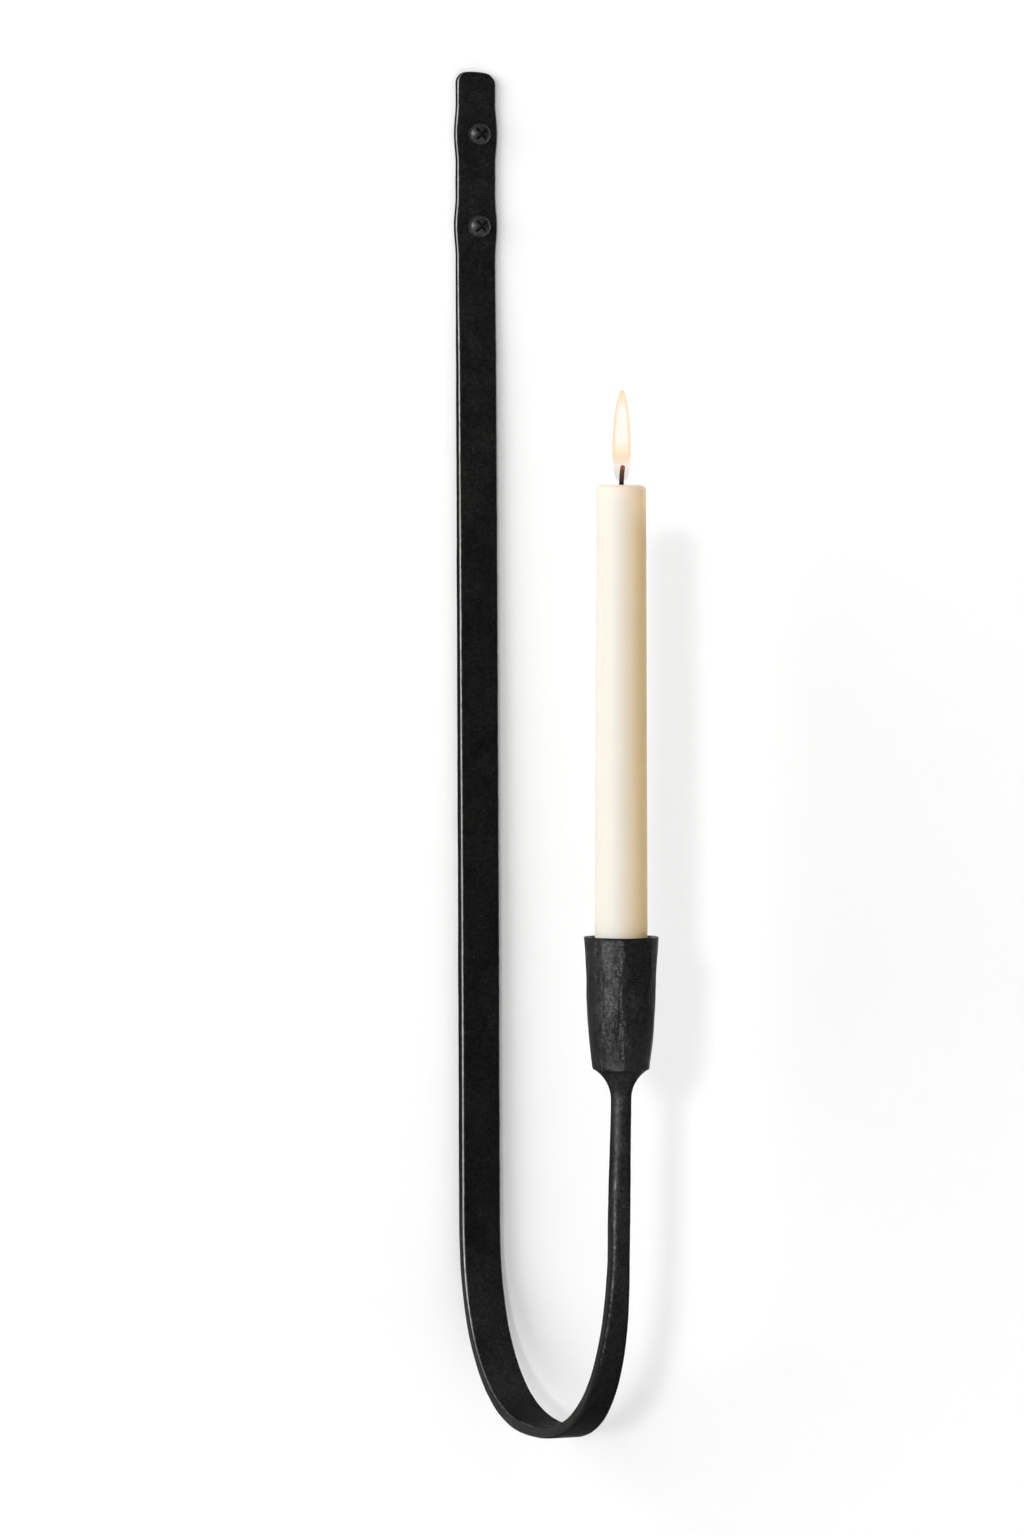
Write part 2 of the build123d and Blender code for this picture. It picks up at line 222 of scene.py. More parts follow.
class CandleLook(bpy.types.PropertyGroup):
    """The candle's wax."""

    wax: colour("Wax", (0.552, 0.53, 0.472), "Colour of the wax")
    # Painted light: the side away from the lamps gets a warm amber colour over its real shade, standing
    # in for light shining through the wax.
    painted_shade_warmth: colour("Honey", (1.0, 0.715, 0.325), "Colour of the side turned away from the light")
    # Painted light: the top of the wax is coloured warm, standing in for the flame's light on it.
    painted_flame_light: colour("Warm wax", (0.68, 0.56, 0.46), "Colour of the wax that the flame shines into")
    # Painted glow: emission in the wax near the flame stands in for the flame's light shining through
    # it.
    glow: colour("Glow", (1.0, 0.8, 0.7), "Light that comes through the wax at the top")
    painted_glow_depth: length("Glow depth", 0.026, "How far down the flame's light reaches")
    painted_glow_strength: number("Glow strength", 0.22, "Strength of that light")
    # Where that painted warm shade starts and where it is full, across the candle.
    painted_shade_warmth_start: number("Honey start", -0.62, "Where the honey side starts, in half widths")
    painted_shade_warmth_end: number("Honey end", 0.9, "Where it is full, in half widths")
    # How far down and how strongly that painted flame light is put into the colour.
    painted_flame_light_depth: length("Warm depth", 0.007, "How far down the warm wax reaches")
    painted_flame_light_share: amount("Warm share", 0.7, "How strong the warm wax is at the top")
    cloud_share: amount("Cloud share", 0.12, "How strong the wax's darker clouds are")
    cloud_tone: amount("Cloud tone", 0.9, "How dark those clouds are beside the wax")
    roughness: amount("Roughness", 0.46, "Roughness of the wax")
    shine: amount("Shine", 0.3, "Strength of the wax's reflections")
    translucence: amount("Translucence", 0.6, "How much of the light goes into the wax")
    scatter: length("Scatter", 0.005, "How far the light goes in the wax")
    scatter_tint: colour("Scatter tint", (1.0, 0.6, 0.35), "How far each colour of it goes")
    skin_depth: length("Skin depth", 0.00006, "Depth of the wax's uneven skin")
    skin_strength: amount("Skin strength", 0.6, "How much of that depth shows")


class WickSizes(bpy.types.PropertyGroup):
    """The wick, a braided cord."""

    diameter: length("Diameter", 0.0021, "Diameter of the cord")
    pool_depth: length("Pool depth", 0.0012, "Depth of the melt pool")
    above_candle: length("Above the candle", 0.0084, "Height of the wick's tip over the candle")
    straight: length("Straight part", 0.0014, "Length above the pool before the bend starts")
    bend: turn("Bend", 10, "Turn of the wick's end")
    braid_turn: length("Braid turn", 0.0034, "Length of one turn of the braid")
    braid_depth: length("Braid depth", 0.00016, "Depth of the braid's furrows")
    cotton: colour("Cotton", (0.3, 0.2, 0.11), "Colour of the cord inside the wax")
    char: colour("Char", (0.006, 0.004, 0.003), "Colour of the burnt cord")
    fleck: colour("Fleck", (0.06, 0.025, 0.01), "Colour of the flecks on the burnt cord")
    ember: colour("Ember", (0.3, 0.022, 0.0), "Colour of the glowing tip")
    ember_strength: number("Ember strength", 0.9, "Strength of the tip's light")
    ember_start: length("Ember start", 0.003, "How far under the tip the glow starts")
    ember_full: length("Ember full", 0.0006, "How far under the tip the glow is full")
    char_start: length("Char start", 0.004, "How far down in the wax the burnt cord starts")
    char_full: length("Char full", 0.001, "How far down it is fully burnt")
    fray_depth: length("Fray depth", 0.0001, "Depth of the cord's frayed skin")


class FlameSizes(bpy.types.PropertyGroup):
    """The flame."""

    height: length("Height", 0.0397, "Height of the flame")
    width: length("Width", 0.0078, "Width of the flame where it is widest")
    lift: length("Lift", 0.0008, "How far the flame's foot stands above the candle's top")
    widest: amount("Widest at", 0.33, "Share of the height where the flame is widest")
    lean: length("Lean", 0.0003, "How far the tip leans to the right")
    rim: colour("Rim", (0.98, 0.745, 0.49), "Colour of the flame's rim and tip")
    heart: colour("Heart", (1.0, 0.975, 0.9), "Colour of the flame's bright heart")
    gold: colour("Gold", (0.99, 0.855, 0.617), "Colour right under the heart")
    peach: colour("Peach", (0.976, 0.733, 0.498), "Colour over the wick")
    amber: colour("Amber", (0.78, 0.48, 0.24), "Colour round the wick's tip")
    smoke: colour("Smoke", (0.3, 0.12, 0.06), "Colour of the clear foot round the wick")


class StageSettings(bpy.types.PropertyGroup):
    """Wall, floor, lamps and camera."""

    wall: colour("Wall", (0.988, 0.988, 0.988), "Colour of the wall")
    floor: colour("Floor", (0.92, 0.92, 0.92), "Colour of the floor")
    floor_height: length("Floor height", -1.0, "Height of the floor")
    floor_half_width: length("Floor half width", 6.0, "Half the width and the depth of the floor")
    wall_top: length("Wall top", 2.2, "Height of the wall's top")
    wall_half_width: length("Wall half width", 3.0, "Half the width of the wall")
    wall_gap: length("Wall gap", 0.0002, "How far the wall stands behind the pad")
    window_side: turn("Window side", -64, "Where the broad light comes from, seen from above")
    window_rise: turn("Window rise", 8, "How high the broad light stands")
    window_spread: turn("Window spread", 44, "How wide the broad light is")
    window_strength: number("Window strength", 2.84, "Strength of the broad light")
    lamp_side: turn("Lamp side", -31, "Where the narrow light comes from")
    lamp_rise: turn("Lamp rise", 6.4, "How high the narrow light stands")
    lamp_spread: turn("Lamp spread", 3.6, "How wide the narrow light is")
    lamp_strength: number("Lamp strength", 0.6, "Strength of the narrow light")
    side_sky: amount("Side sky", 1.75, "Level of the room's light far out on the left")
    left_sky: amount("Left sky", 0.52, "Level of the room's light on the left")
    middle_sky: amount("Middle sky", 0.412, "Level of the room's light in the middle")
    right_sky: amount("Right sky", 0.1, "Level of the room's light on the right")
    camera_place: bpy.props.FloatVectorProperty(
        name="Camera place", default=(-1.236887, -2.957112, -0.15464), size=3,
        description="Place of the camera", subtype="TRANSLATION", unit="LENGTH",
    )
    camera_turn: turn("Camera turn", -23, "Turn of the camera about the upright axis")
    camera_tilt: turn("Camera tilt", 88.1, "Tilt of the camera, 90 degrees is level")
    lens: number("Lens", 168.75, "Focal length in millimetres")
    frame_width: number("Frame width", 36.0, "Width of the camera's frame in millimetres")
    sight: length("Sight", 30.0, "How far the camera sees")


# Measures along the bar

# The strap settles to its own thickness over its length divided by this.
SETTLE_PART = 9
# About the length of the bar in the loop, for the number of rings there.
LOOP_RUN = 0.27


def between(value, start, end, first, last):
    """Goes evenly from first at start to last at end, and holds outside."""
    share = min(max((value - start) / (end - start), 0.0), 1.0)
    return first + (last - first) * share


def ease(value, start, end):
    """0 at start, 1 at end, soft at both."""
    share = min(max((value - start) / (end - start), 0.0), 1.0)
    return share * share * (3 - 2 * share)


def strap_thickness(bar, height):
    """Thickness of the strap, which grows out of the pad's and on towards the loop."""
    full = between(-height, -bar.pad_bottom, bar.full_depth, bar.strap_start, bar.bend_thickness)
    settle = ease(bar.pad_bottom - height, 0.0, (bar.pad_bottom - bar.back_spring) / SETTLE_PART)
    return bar.pad_thickness + (full - bar.pad_thickness) * settle


def strap_middle(bar, height):
    """Distance of the strap's middle from the wall."""
    off_wall = between(-height, -bar.pad_bottom, -bar.back_spring, 0.0, bar.strap_lean)
    return off_wall + strap_thickness(bar, height) / 2


def loop_point(bar, angle):
    """Middle of the bar in the loop: 0 at the back spring, a half turn at the front one."""
    if angle <= math.pi / 2:
        run = -(bar.loop_forward - bar.strap_lean - bar.bend_thickness / 2)
        spring, fullness = bar.back_spring, bar.back_fullness
    else:
        run = bar.reach - bar.stem_lean - bar.loop_forward
        spring, fullness = bar.front_spring, bar.front_fullness
    forward = bar.loop_forward + run * abs(math.cos(angle)) ** (2 / fullness)
    height = spring - (spring - bar.loop_bottom) * abs(math.sin(angle)) ** (2 / fullness)
    return Vector((0, -forward, height))


def neck_angle(bar):
    """Angle of the arc that flares the stem out to the seat."""
    return math.acos(1 - (bar.seat_diameter - bar.stem_end) / 2 / bar.neck_radius)


def neck_bottom(bar):
    """Height where the neck's flare starts."""
    return bar.seat_height - bar.neck_radius * math.sin(neck_angle(bar))


def bar_route(bar):
    """Middle points of the bar, about one ring spacing apart, from the pad's foot to the neck."""
    route = []
    steps = round((bar.pad_bottom - bar.back_spring) / bar.ring_spacing)
    for step in range(steps):
        height = bar.pad_bottom + (bar.back_spring - bar.pad_bottom) * step / steps
        route.append(Vector((0, -strap_middle(bar, height), height)))
    steps = round(LOOP_RUN / bar.ring_spacing)
    route += [loop_point(bar, math.pi * step / steps) for step in range(steps)]
    top = neck_bottom(bar)
    steps = round((top - bar.front_spring) / bar.ring_spacing)
    for step in range(steps + 1):
        share = step / steps
        forward = bar.reach - bar.stem_lean * (1 - share)
        height = bar.front_spring + (top - bar.front_spring) * share
        route.append(Vector((0, -forward, height)))
    return route


def run_lengths(route):
    """Length along the bar at each point, counted from the bottom of the loop."""
    lengths = [0.0]
    for start, end in zip(route, route[1:]):
        lengths.append(lengths[-1] + (end - start).length)
    bottom = min(range(len(route)), key=lambda index: route[index].z)
    return [along - lengths[bottom] for along in lengths]


# Sections of the bar

# Points along half a face, a side and a corner of a section
HALF_FACE, SIDE, CORNER = 10, 4, 4
SECTION_POINTS = 4 * HALF_FACE + 2 * SIDE + 4 * CORNER
# A corner takes at most this share of the half width.
FULLEST_CORNER = 0.999
# Shares of the width that the corners take in a flat section and in a round one
FLAT, ROUND = 0.2, 0.95
# How far a worn edge reaches past its corner
WORN_REACH = 0.0007
# Size of a hammer mark against the distance between the marks
MARK_SIZE = 0.8


def section(width, thickness, corner):
    """Points round a rounded rectangle from the middle of its inner face: across, out, wear.

    A flat section has its points where the corners are, a round one has them evenly spaced."""
    corner = min(corner, width / 2 * FULLEST_CORNER, thickness / 2 * FULLEST_CORNER)
    face, side, arc = width / 2 - corner, thickness - 2 * corner, math.pi / 2 * corner
    runs = [face, arc, side, arc, 2 * face, arc, side, arc, face]
    counts = [HALF_FACE, CORNER, SIDE, CORNER, 2 * HALF_FACE, CORNER, SIDE, CORNER, HALF_FACE]
    around = sum(runs)
    roundness = ease(2 * corner / width, FLAT, ROUND)
    corners = [sum(runs[:index]) + arc / 2 for index in (1, 3, 5, 7)]
    points = []
    passed, number_passed = 0.0, 0
    for run, count in zip(runs, counts):
        for step in range(count):
            even = around * number_passed / SECTION_POINTS
            place = (passed + run * step / count) * (1 - roundness) + even * roundness
            off_corner = min(abs(place - middle) for middle in corners)
            wear = max(0.0, 1 - off_corner / (arc / 2 + WORN_REACH))
            across, out = on_section(place, face, side, arc, corner)
            points.append((across, out, wear))
            number_passed += 1
        passed += run
    return points


def on_section(place, face, side, arc, corner):
    """Point at a length round the section, as across and out."""
    right, inner = face + corner, side / 2 + corner
    turns = ((face, inner - corner, 90), (face, corner - inner, 0),
             (-face, corner - inner, -90), (-face, inner - corner, -180))
    starts = ((0, inner), (right, side / 2), (face, -inner), (-right, -side / 2), (-face, inner))
    ways = ((1, 0), (0, -1), (-1, 0), (0, 1), (1, 0))
    for index, run in enumerate((face, side, 2 * face, side, face)):
        if place <= run or index == 4:
            (x, y), (dx, dy) = starts[index], ways[index]
            return x + dx * place, y + dy * place
        place -= run
        if place <= arc:
            centre_x, centre_y, start = turns[index]
            angle = math.radians(start) - place / corner
            return centre_x + corner * math.cos(angle), centre_y + corner * math.sin(angle)
        place -= arc


def dent(place, size, stretch, seed):
    """Depth share of overlapping hammer marks at a place: 1 in a mark's middle, 0 between them."""
    at = Vector([value / size * pull for value, pull in zip(place, stretch)])
    nearest = noise.voronoi(at + Vector((seed, seed * 0.7, -seed)))[0][0]
    return max(0.0, 1 - (nearest / MARK_SIZE) ** 2)


def wander(place, size, seed):
    """Smooth noise between -1 and 1 at a place."""
    return noise.noise(Vector(place) / size + Vector((seed, -seed, seed * 0.5)))


# Pad

# Depths of the rings that round the pad's top, then the depth where even rings start
TOP_DEPTHS = (0.00003, 0.0001, 0.0002, 0.00035, 0.00055, 0.0008, 0.0011, 0.0015, 0.002,
              0.0026, 0.0033, 0.0041)
EVEN_FROM = 0.005
# Depth where the crown of the pad's top has gone
CROWN_DEPTH = 0.012
# Wear of the pad's top edge
TOP_WEAR = 0.6


def pad_side(bar, screw, height, side):
    """Half width of the pad on one side, with its swellings and its top corner."""
    half = bar.strap_width / 2
    for hole in (-screw.spacing / 2, screw.spacing / 2):
        share = abs(height - hole) / bar.swell_half_length
        if share < 1:
            half += bar.swell_rise * math.cos(share * math.pi / 2) ** 2
    radius = bar.pad_left_corner if side < 0 else bar.pad_right_corner
    past = height - (bar.pad_top - radius)
    if past > 0:
        half -= radius - math.sqrt(max(radius**2 - past**2, 0.0))
    return half


def pad_rings(bar, screw):
    """Rings of the pad from its top to its foot, as lists of (place, wear, drawn)."""
    full = bar.pad_top - bar.pad_bottom
    steps = round((full - EVEN_FROM) / bar.ring_spacing)
    even = [EVEN_FROM + (full - EVEN_FROM) * step / steps for step in range(steps)]
    rings = []
    for depth in (*TOP_DEPTHS, *even):
        height = bar.pad_top - depth
        left, right = (pad_side(bar, screw, height, side) for side in (-1, 1))
        thickness = bar.pad_thickness
        if depth < bar.edge_radius:
            past = bar.edge_radius - depth
            thickness -= 2 * (bar.edge_radius - math.sqrt(bar.edge_radius**2 - past**2))
        crown = bar.crown_left_fall * (1 - ease(depth, 0.0, CROWN_DEPTH))
        top_wear = TOP_WEAR * (1 - ease(depth, bar.edge_radius * 0.6, bar.edge_radius * 1.5))
        ring = []
        for across, out, wear in section(left + right, thickness, bar.edge_radius):
            x = across + (right - left) / 2
            y = -bar.pad_thickness / 2 - out
            off = (x - bar.crown_offset) / (bar.strap_width / 2 + bar.crown_offset)
            worn = max(wear, top_wear) if out > 0 else 0.0
            ring.append((Vector((x, y, height - crown * off**2)), worn, 0.0))
        rings.append(ring)
    return rings


def bar_rings(bar):
    """Rings of the strap, the loop and the stem, as lists of (place, wear, drawn)."""
    route = bar_route(bar)
    lengths = run_lengths(route)
    last = len(route) - 1
    rings = []
    for index, point in enumerate(route):
        along = lengths[index]
        ahead = (route[min(index + 1, last)] - route[max(index - 1, 0)]).normalized()
        if index == last:
            ahead = Vector((0, 0, 1))
        inner = ahead.cross(Vector((1, 0, 0)))
        width = between(along, bar.draw_start, bar.draw_end, bar.strap_width, bar.stem_width)
        if along < 0:
            corner = between(-point.z, -bar.pad_bottom, -bar.back_spring,
                             bar.edge_radius, bar.bend_edge_radius)
        else:
            corner = between(along, 0.0, bar.draw_end, bar.bend_edge_radius, bar.stem_corner)
        if along < bar.thicken_start:
            thickness = strap_thickness(bar, point.z)
        else:
            thickness = between(along, bar.thicken_start, bar.thicken_end,
                                bar.bend_thickness, bar.stem_depth)
        settle = ease(point.z, bar.front_spring, neck_bottom(bar)) if along > 0 else 0.0
        width += (bar.stem_end - width) * settle
        thickness += (bar.stem_end - thickness) * settle
        corner += (bar.stem_end / 2 - corner) * settle
        inner_wear, outer_wear, drawn = rubbing(along)
        rings.append([
            (point + Vector((across, 0, 0)) + inner * out,
             wear * (inner_wear if out > 0 else outer_wear), drawn)
            for across, out, wear in section(width, thickness, corner)
        ])
    return rings


# Wear of the edges at the loop, and how much of it is lost along the stem
LOOP_WEAR, STEM_LOSS = 0.72, 0.1
# Places along the bar from the loop's bottom: where the inner edge's wear goes down and ends, where
# the outer edge's starts, where the stem's starts and where the bar becomes a drawn one
INNER_DIMS, INNER_ENDS = -0.1, 0.03
OUTER_STARTS, STEM_STARTS, DRAWN_OVER = (0.04, 0.09), (0.13, 0.17), (0.08, 0.15)


def rubbing(along):
    """How rubbed the inner and the outer edges are, and how far the bar is drawn down."""
    inner = between(along, INNER_DIMS, 0.0, 1.0, LOOP_WEAR) * (1 - ease(along, 0.0, INNER_ENDS))
    outer = LOOP_WEAR * ease(along, *OUTER_STARTS) * (1 - STEM_LOSS * ease(along, *STEM_STARTS))
    return inner, outer, ease(along, *DRAWN_OVER)


def turned_ring(radius, height, forward, count=SECTION_POINTS, wear=0.0):
    """A ring of drawn iron about the candle's axis, its first point towards the wall."""
    ring = []
    for index in range(count):
        angle = 2 * math.pi * index / count
        place = Vector((radius * math.sin(angle), radius * math.cos(angle) - forward, height))
        ring.append((place, wear, 1.0))
    return ring


# Rings of the neck's flare, and shares of the radius for rings on the seat and the peened head
NECK_STEPS = 18
SEAT_SHARE, HEAD_EDGE_SHARE, HEAD_SHARES = 0.7, 0.85, (0.9, 0.75, 0.55, 0.35, 0.15)


def neck_rings(bar):
    """Rings of the flared neck, the seat, the tenon and its peened head."""
    rings = []
    for step in range(1, NECK_STEPS + 1):
        angle = neck_angle(bar) * step / NECK_STEPS
        radius = bar.stem_end / 2 + bar.neck_radius * (1 - math.cos(angle))
        height = neck_bottom(bar) + bar.neck_radius * math.sin(angle)
        rings.append(turned_ring(radius, height, bar.reach))
    tenon, head = bar.tenon_diameter / 2, bar.tenon_head_diameter / 2
    top = bar.seat_height + bar.tenon_rise
    for radius, height in (
        (bar.seat_diameter / 2 * SEAT_SHARE, bar.seat_height), (tenon, bar.seat_height),
        (tenon, bar.seat_height + bar.tenon_rise / 2), (tenon, top),
        (head * HEAD_EDGE_SHARE, top), (head, top),
    ):
        rings.append(turned_ring(radius, height, bar.reach))
    ball = (head**2 + bar.tenon_head_rise**2) / (2 * bar.tenon_head_rise)
    for share in HEAD_SHARES:
        radius = head * share
        drop = ball - math.sqrt(ball**2 - radius**2)
        rings.append(turned_ring(radius, top + bar.tenon_head_rise - drop, bar.reach))
    return rings


# Meshes

# Points nearer than this are one point.
SAME_POINT = 1e-7
# Sides of a round post to cut with
POST_SIDES = 48


def new_object(name, data):
    """An object linked to the scene."""
    made = bpy.data.objects.new(name, data)
    bpy.context.scene.collection.objects.link(made)
    return made


def finished_mesh(work, name):
    """The mesh of a bmesh, which is freed."""
    mesh = bpy.data.meshes.new(name)
    work.to_mesh(mesh)
    work.free()
    return mesh


def bridge(work, rows):
    """Faces between rows of points that run round."""
    count = len(rows[0])
    for low, high in zip(rows, rows[1:]):
        for index in range(count):
            after = (index + 1) % count
            work.faces.new((low[index], low[after], high[after], high[index]))


def mesh_piece(name, mesh, material, body, shade_angle=40):
    """Links a mesh as a piece that rides on a body, smooth but for its sharp edges."""
    work = bmesh.new()
    work.from_mesh(mesh)
    bmesh.ops.remove_doubles(work, verts=work.verts, dist=SAME_POINT)
    bmesh.ops.recalc_face_normals(work, faces=work.faces)
    for face in work.faces:
        face.smooth = True
    for edge in work.edges:
        if len(edge.link_faces) == 2:
            edge.smooth = edge.calc_face_angle(0.0) < math.radians(shade_angle)
    work.to_mesh(mesh)
    work.free()
    piece = new_object(name, mesh)
    mesh.materials.append(material)
    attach(piece, body)
    return piece


def ringed_mesh(name, rings, start="strip", end="pole", closed=False):
    """Mesh over rings of (place, wear, drawn). An end is a strip or a pole, or both meet."""
    work = bmesh.new()
    wear_layer = work.verts.layers.float.new(WEAR)
    drawn_layer = work.verts.layers.float.new(DRAWN)
    rows = []
    for ring in rings:
        row = []
        for place, wear, drawn in ring:
            vert = work.verts.new(place)
            vert[wear_layer] = wear
            vert[drawn_layer] = drawn
            row.append(vert)
        rows.append(row)
    count = len(rows[0])
    bridge(work, rows + rows[:1] if closed else rows)
    for row, kind in () if closed else ((rows[0], start), (rows[-1], end)):
        if kind == "pole":
            pole = work.verts.new(sum((vert.co for vert in row), Vector()) / count)
            pole[drawn_layer] = row[0][drawn_layer]
            for index in range(count):
                work.faces.new((row[index], row[(index + 1) % count], pole))
        else:
            for index in range(count // 2):
                across = (row[index], row[index + 1], row[count - index - 1], row[-index])
                work.faces.new(tuple(dict.fromkeys(across)))
    bmesh.ops.recalc_face_normals(work, faces=work.faces)
    return finished_mesh(work, name)


def keep_in_box(mesh, node):
    """Pulls the points that stand out of a CAD node's box back onto it."""
    low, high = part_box(node)
    for vert in mesh.vertices:
        for axis in range(3):
            vert.co[axis] = min(max(vert.co[axis], low[axis]), high[axis])


def press_in(mesh, depth_at):
    """Moves each point in along its normal by depth_at(place, wear)."""
    wear = mesh.attributes[WEAR].data
    moves = [
        vert.normal * -depth_at(vert.co, wear[vert.index].value) for vert in mesh.vertices
    ]
    for vert, move in zip(mesh.vertices, moves):
        vert.co += move


def cut_away(mesh, cutters):
    """Takes the cutters' bodies away from a mesh and deletes the cutters."""
    block = new_object("cut_block", mesh)
    for cutter in cutters:
        step = block.modifiers.new("cut", "BOOLEAN")
        step.operation = "DIFFERENCE"
        step.solver = "EXACT"
        step.object = cutter
    bpy.context.view_layer.update()
    result = bpy.data.meshes.new_from_object(
        block.evaluated_get(bpy.context.evaluated_depsgraph_get()))
    bpy.data.objects.remove(block)
    for cutter in cutters:
        bpy.data.objects.remove(cutter)
    return result


def post(radius, start, end):
    """A round post between two points, as an object to cut with."""
    work = bmesh.new()
    way = end - start
    bmesh.ops.create_cone(work, cap_ends=True, segments=POST_SIDES, radius1=radius,
                          radius2=radius, depth=way.length)
    cutter = new_object("post", finished_mesh(work, "post"))
    cutter.rotation_mode = "QUATERNION"
    cutter.rotation_quaternion = Vector((0, 0, 1)).rotation_difference(way)
    cutter.location = (start + end) / 2
    return cutter


# Materials

BLACK = (0, 0, 0, 1)


class Sheet:
    """Short ways to lay out the nodes of a material or a group."""

    def __init__(self, tree):
        self.tree = tree

    def add(self, kind, **values):
        node = self.tree.nodes.new("ShaderNode" + kind)
        for name, value in values.items():
            setattr(node, name, value)
        return node

    def link(self, source, target):
        self.tree.links.new(source, target)

    def feed(self, target, value):
        """Links a socket to an input, or sets the input to a value."""
        if isinstance(value, bpy.types.NodeSocket):
            self.link(value, target)
        else:
            target.default_value = value

    def fill(self, node, values):
        """Feeds the inputs of a node by their names."""
        for name, value in values.items():
            self.feed(node.inputs[name], value)
        return node

    def place(self):
        """Place on the piece, whole and as its three coordinates."""
        place = self.add("TexCoord").outputs["Object"]
        split = self.add("SeparateXYZ")
        self.link(place, split.inputs[0])
        return place, split.outputs

    def math(self, operation, first, second=0.0, third=0.0):
        node = self.add("Math", operation=operation)
        for target, value in zip(node.inputs, (first, second, third)):
            self.feed(target, value)
        return node.outputs[0]

    def times(self, first, second):
        return self.math("MULTIPLY", first, second)

    def plus(self, first, second):
        return self.math("ADD", first, second)

    def less(self, first, second):
        return self.math("SUBTRACT", first, second)

    def band(self, value, low, high, to_low=0.0, to_high=1.0):
        """Maps a value from a range to a range, softly and held at both ends."""
        node = self.add("MapRange", interpolation_type="SMOOTHSTEP")
        self.fill(node, {"Value": value, "From Min": low, "From Max": high,
                         "To Min": to_low, "To Max": to_high})
        return node.outputs[0]

    def mix(self, share, first, second):
        """The first colour where the share is 0, the second where it is 1."""
        node = self.add("Mix", data_type="RGBA")
        self.feed(node.inputs[0], share)
        self.feed(node.inputs[6], first)
        self.feed(node.inputs[7], second)
        return node.outputs[2]

    def scaled(self, shade, factor):
        """A colour multiplied by a value."""
        node = self.add("VectorMath", operation="SCALE")
        self.link(shade, node.inputs[0])
        self.feed(node.inputs["Scale"], factor)
        return node.outputs[0]

    def ramp(self, value, stops):
        """Colour along a line of stops, each a place and a colour."""
        node = self.add("ValToRGB")
        self.link(value, node.inputs[0])
        elements = node.color_ramp.elements
        while len(elements) < len(stops):
            elements.new(1.0)
        for element, (place, values) in zip(elements, stops):
            element.position = place
            element.color = rgb(values)
        return node.outputs[0]

    def grain(self, place, size, detail, rough, distort=0.0):
        """Noise at a place. The larger its size number, the finer it is."""
        node = self.add("TexNoise")
        self.fill(node, {"Vector": place, "Scale": size, "Detail": detail, "Roughness": rough,
                         "Distortion": distort})
        return node.outputs["Fac"]

    def bump(self, height, distance, strength=1.0):
        """A node that turns a height into a normal."""
        node = self.add("Bump")
        return self.fill(node, {"Strength": strength, "Distance": distance, "Height": height})

    def group(self, name, build, values):
        """Outputs of a shared node group, which is built at its first use."""
        tree = bpy.data.node_groups.get(name) or build(name)
        return self.fill(self.add("Group", node_tree=tree), values).outputs


def rgb(values):
    """A colour with full alpha, as a socket takes it."""
    return (*values, 1.0)


def group_with(name, inputs, outputs):
    """A node group with number sockets. Returns its sheet, what it is given and its output node."""
    tree = bpy.data.node_groups.new(name, "ShaderNodeTree")
    for title, default in inputs.items():
        socket = tree.interface.new_socket(title, in_out="INPUT", socket_type="NodeSocketFloat")
        socket.default_value = default
    for title in outputs:
        tree.interface.new_socket(title, in_out="OUTPUT", socket_type="NodeSocketFloat")
    given = tree.nodes.new("NodeGroupInput").outputs
    return Sheet(tree), given, tree.nodes.new("NodeGroupOutput")


def edge_wear_group(name):
    """Where the finish is rubbed through: along the edges, broken up by grain."""
    sheet, given, out = group_with(name, {"Amount": 0.5, "Breakup": 420.0}, ["Mask"])
    place = sheet.add("TexCoord").outputs["Object"]
    edge = sheet.add("Attribute", attribute_name=WEAR).outputs["Fac"]
    breakup = sheet.grain(place, given["Breakup"], 4.0, 0.6)
    long_breakup = sheet.grain(place, 55.0, 2.0, 0.5)
    ragged = sheet.plus(edge, sheet.times(breakup, 0.6))
    ragged = sheet.plus(ragged, sheet.times(long_breakup, 0.3))
    start = sheet.less(1.62, given["Amount"])
    sheet.fill(out, {"Mask": sheet.band(ragged, start, sheet.plus(start, 0.34))})
    return sheet.tree


def forged_skin_group(name):
    """Scale of forged iron: blotches, specks and the height of its fine grain."""
    sheet, given, out = group_with(name, {"Blotch size": 60.0, "Grain size": 700.0},
                                   ["Blotch", "Speck", "Height"])
    place = sheet.add("TexCoord").outputs["Object"]
    size = given["Grain size"]
    blotch = sheet.grain(place, given["Blotch size"], 6.0, 0.68, 0.6)
    speck = sheet.grain(place, sheet.times(size, 1.2), 1.0, 0.4)
    ripple = sheet.grain(place, size, 3.0, 0.6, 0.8)
    fine = sheet.grain(place, sheet.times(size, 3.1), 2.0, 0.5)
    sheet.fill(out, {
        "Blotch": sheet.band(blotch, 0.36, 0.66),
        "Speck": sheet.band(speck, 0.74, 0.8),
        "Height": sheet.plus(ripple, sheet.times(fine, 0.35)),
    })
    return sheet.tree


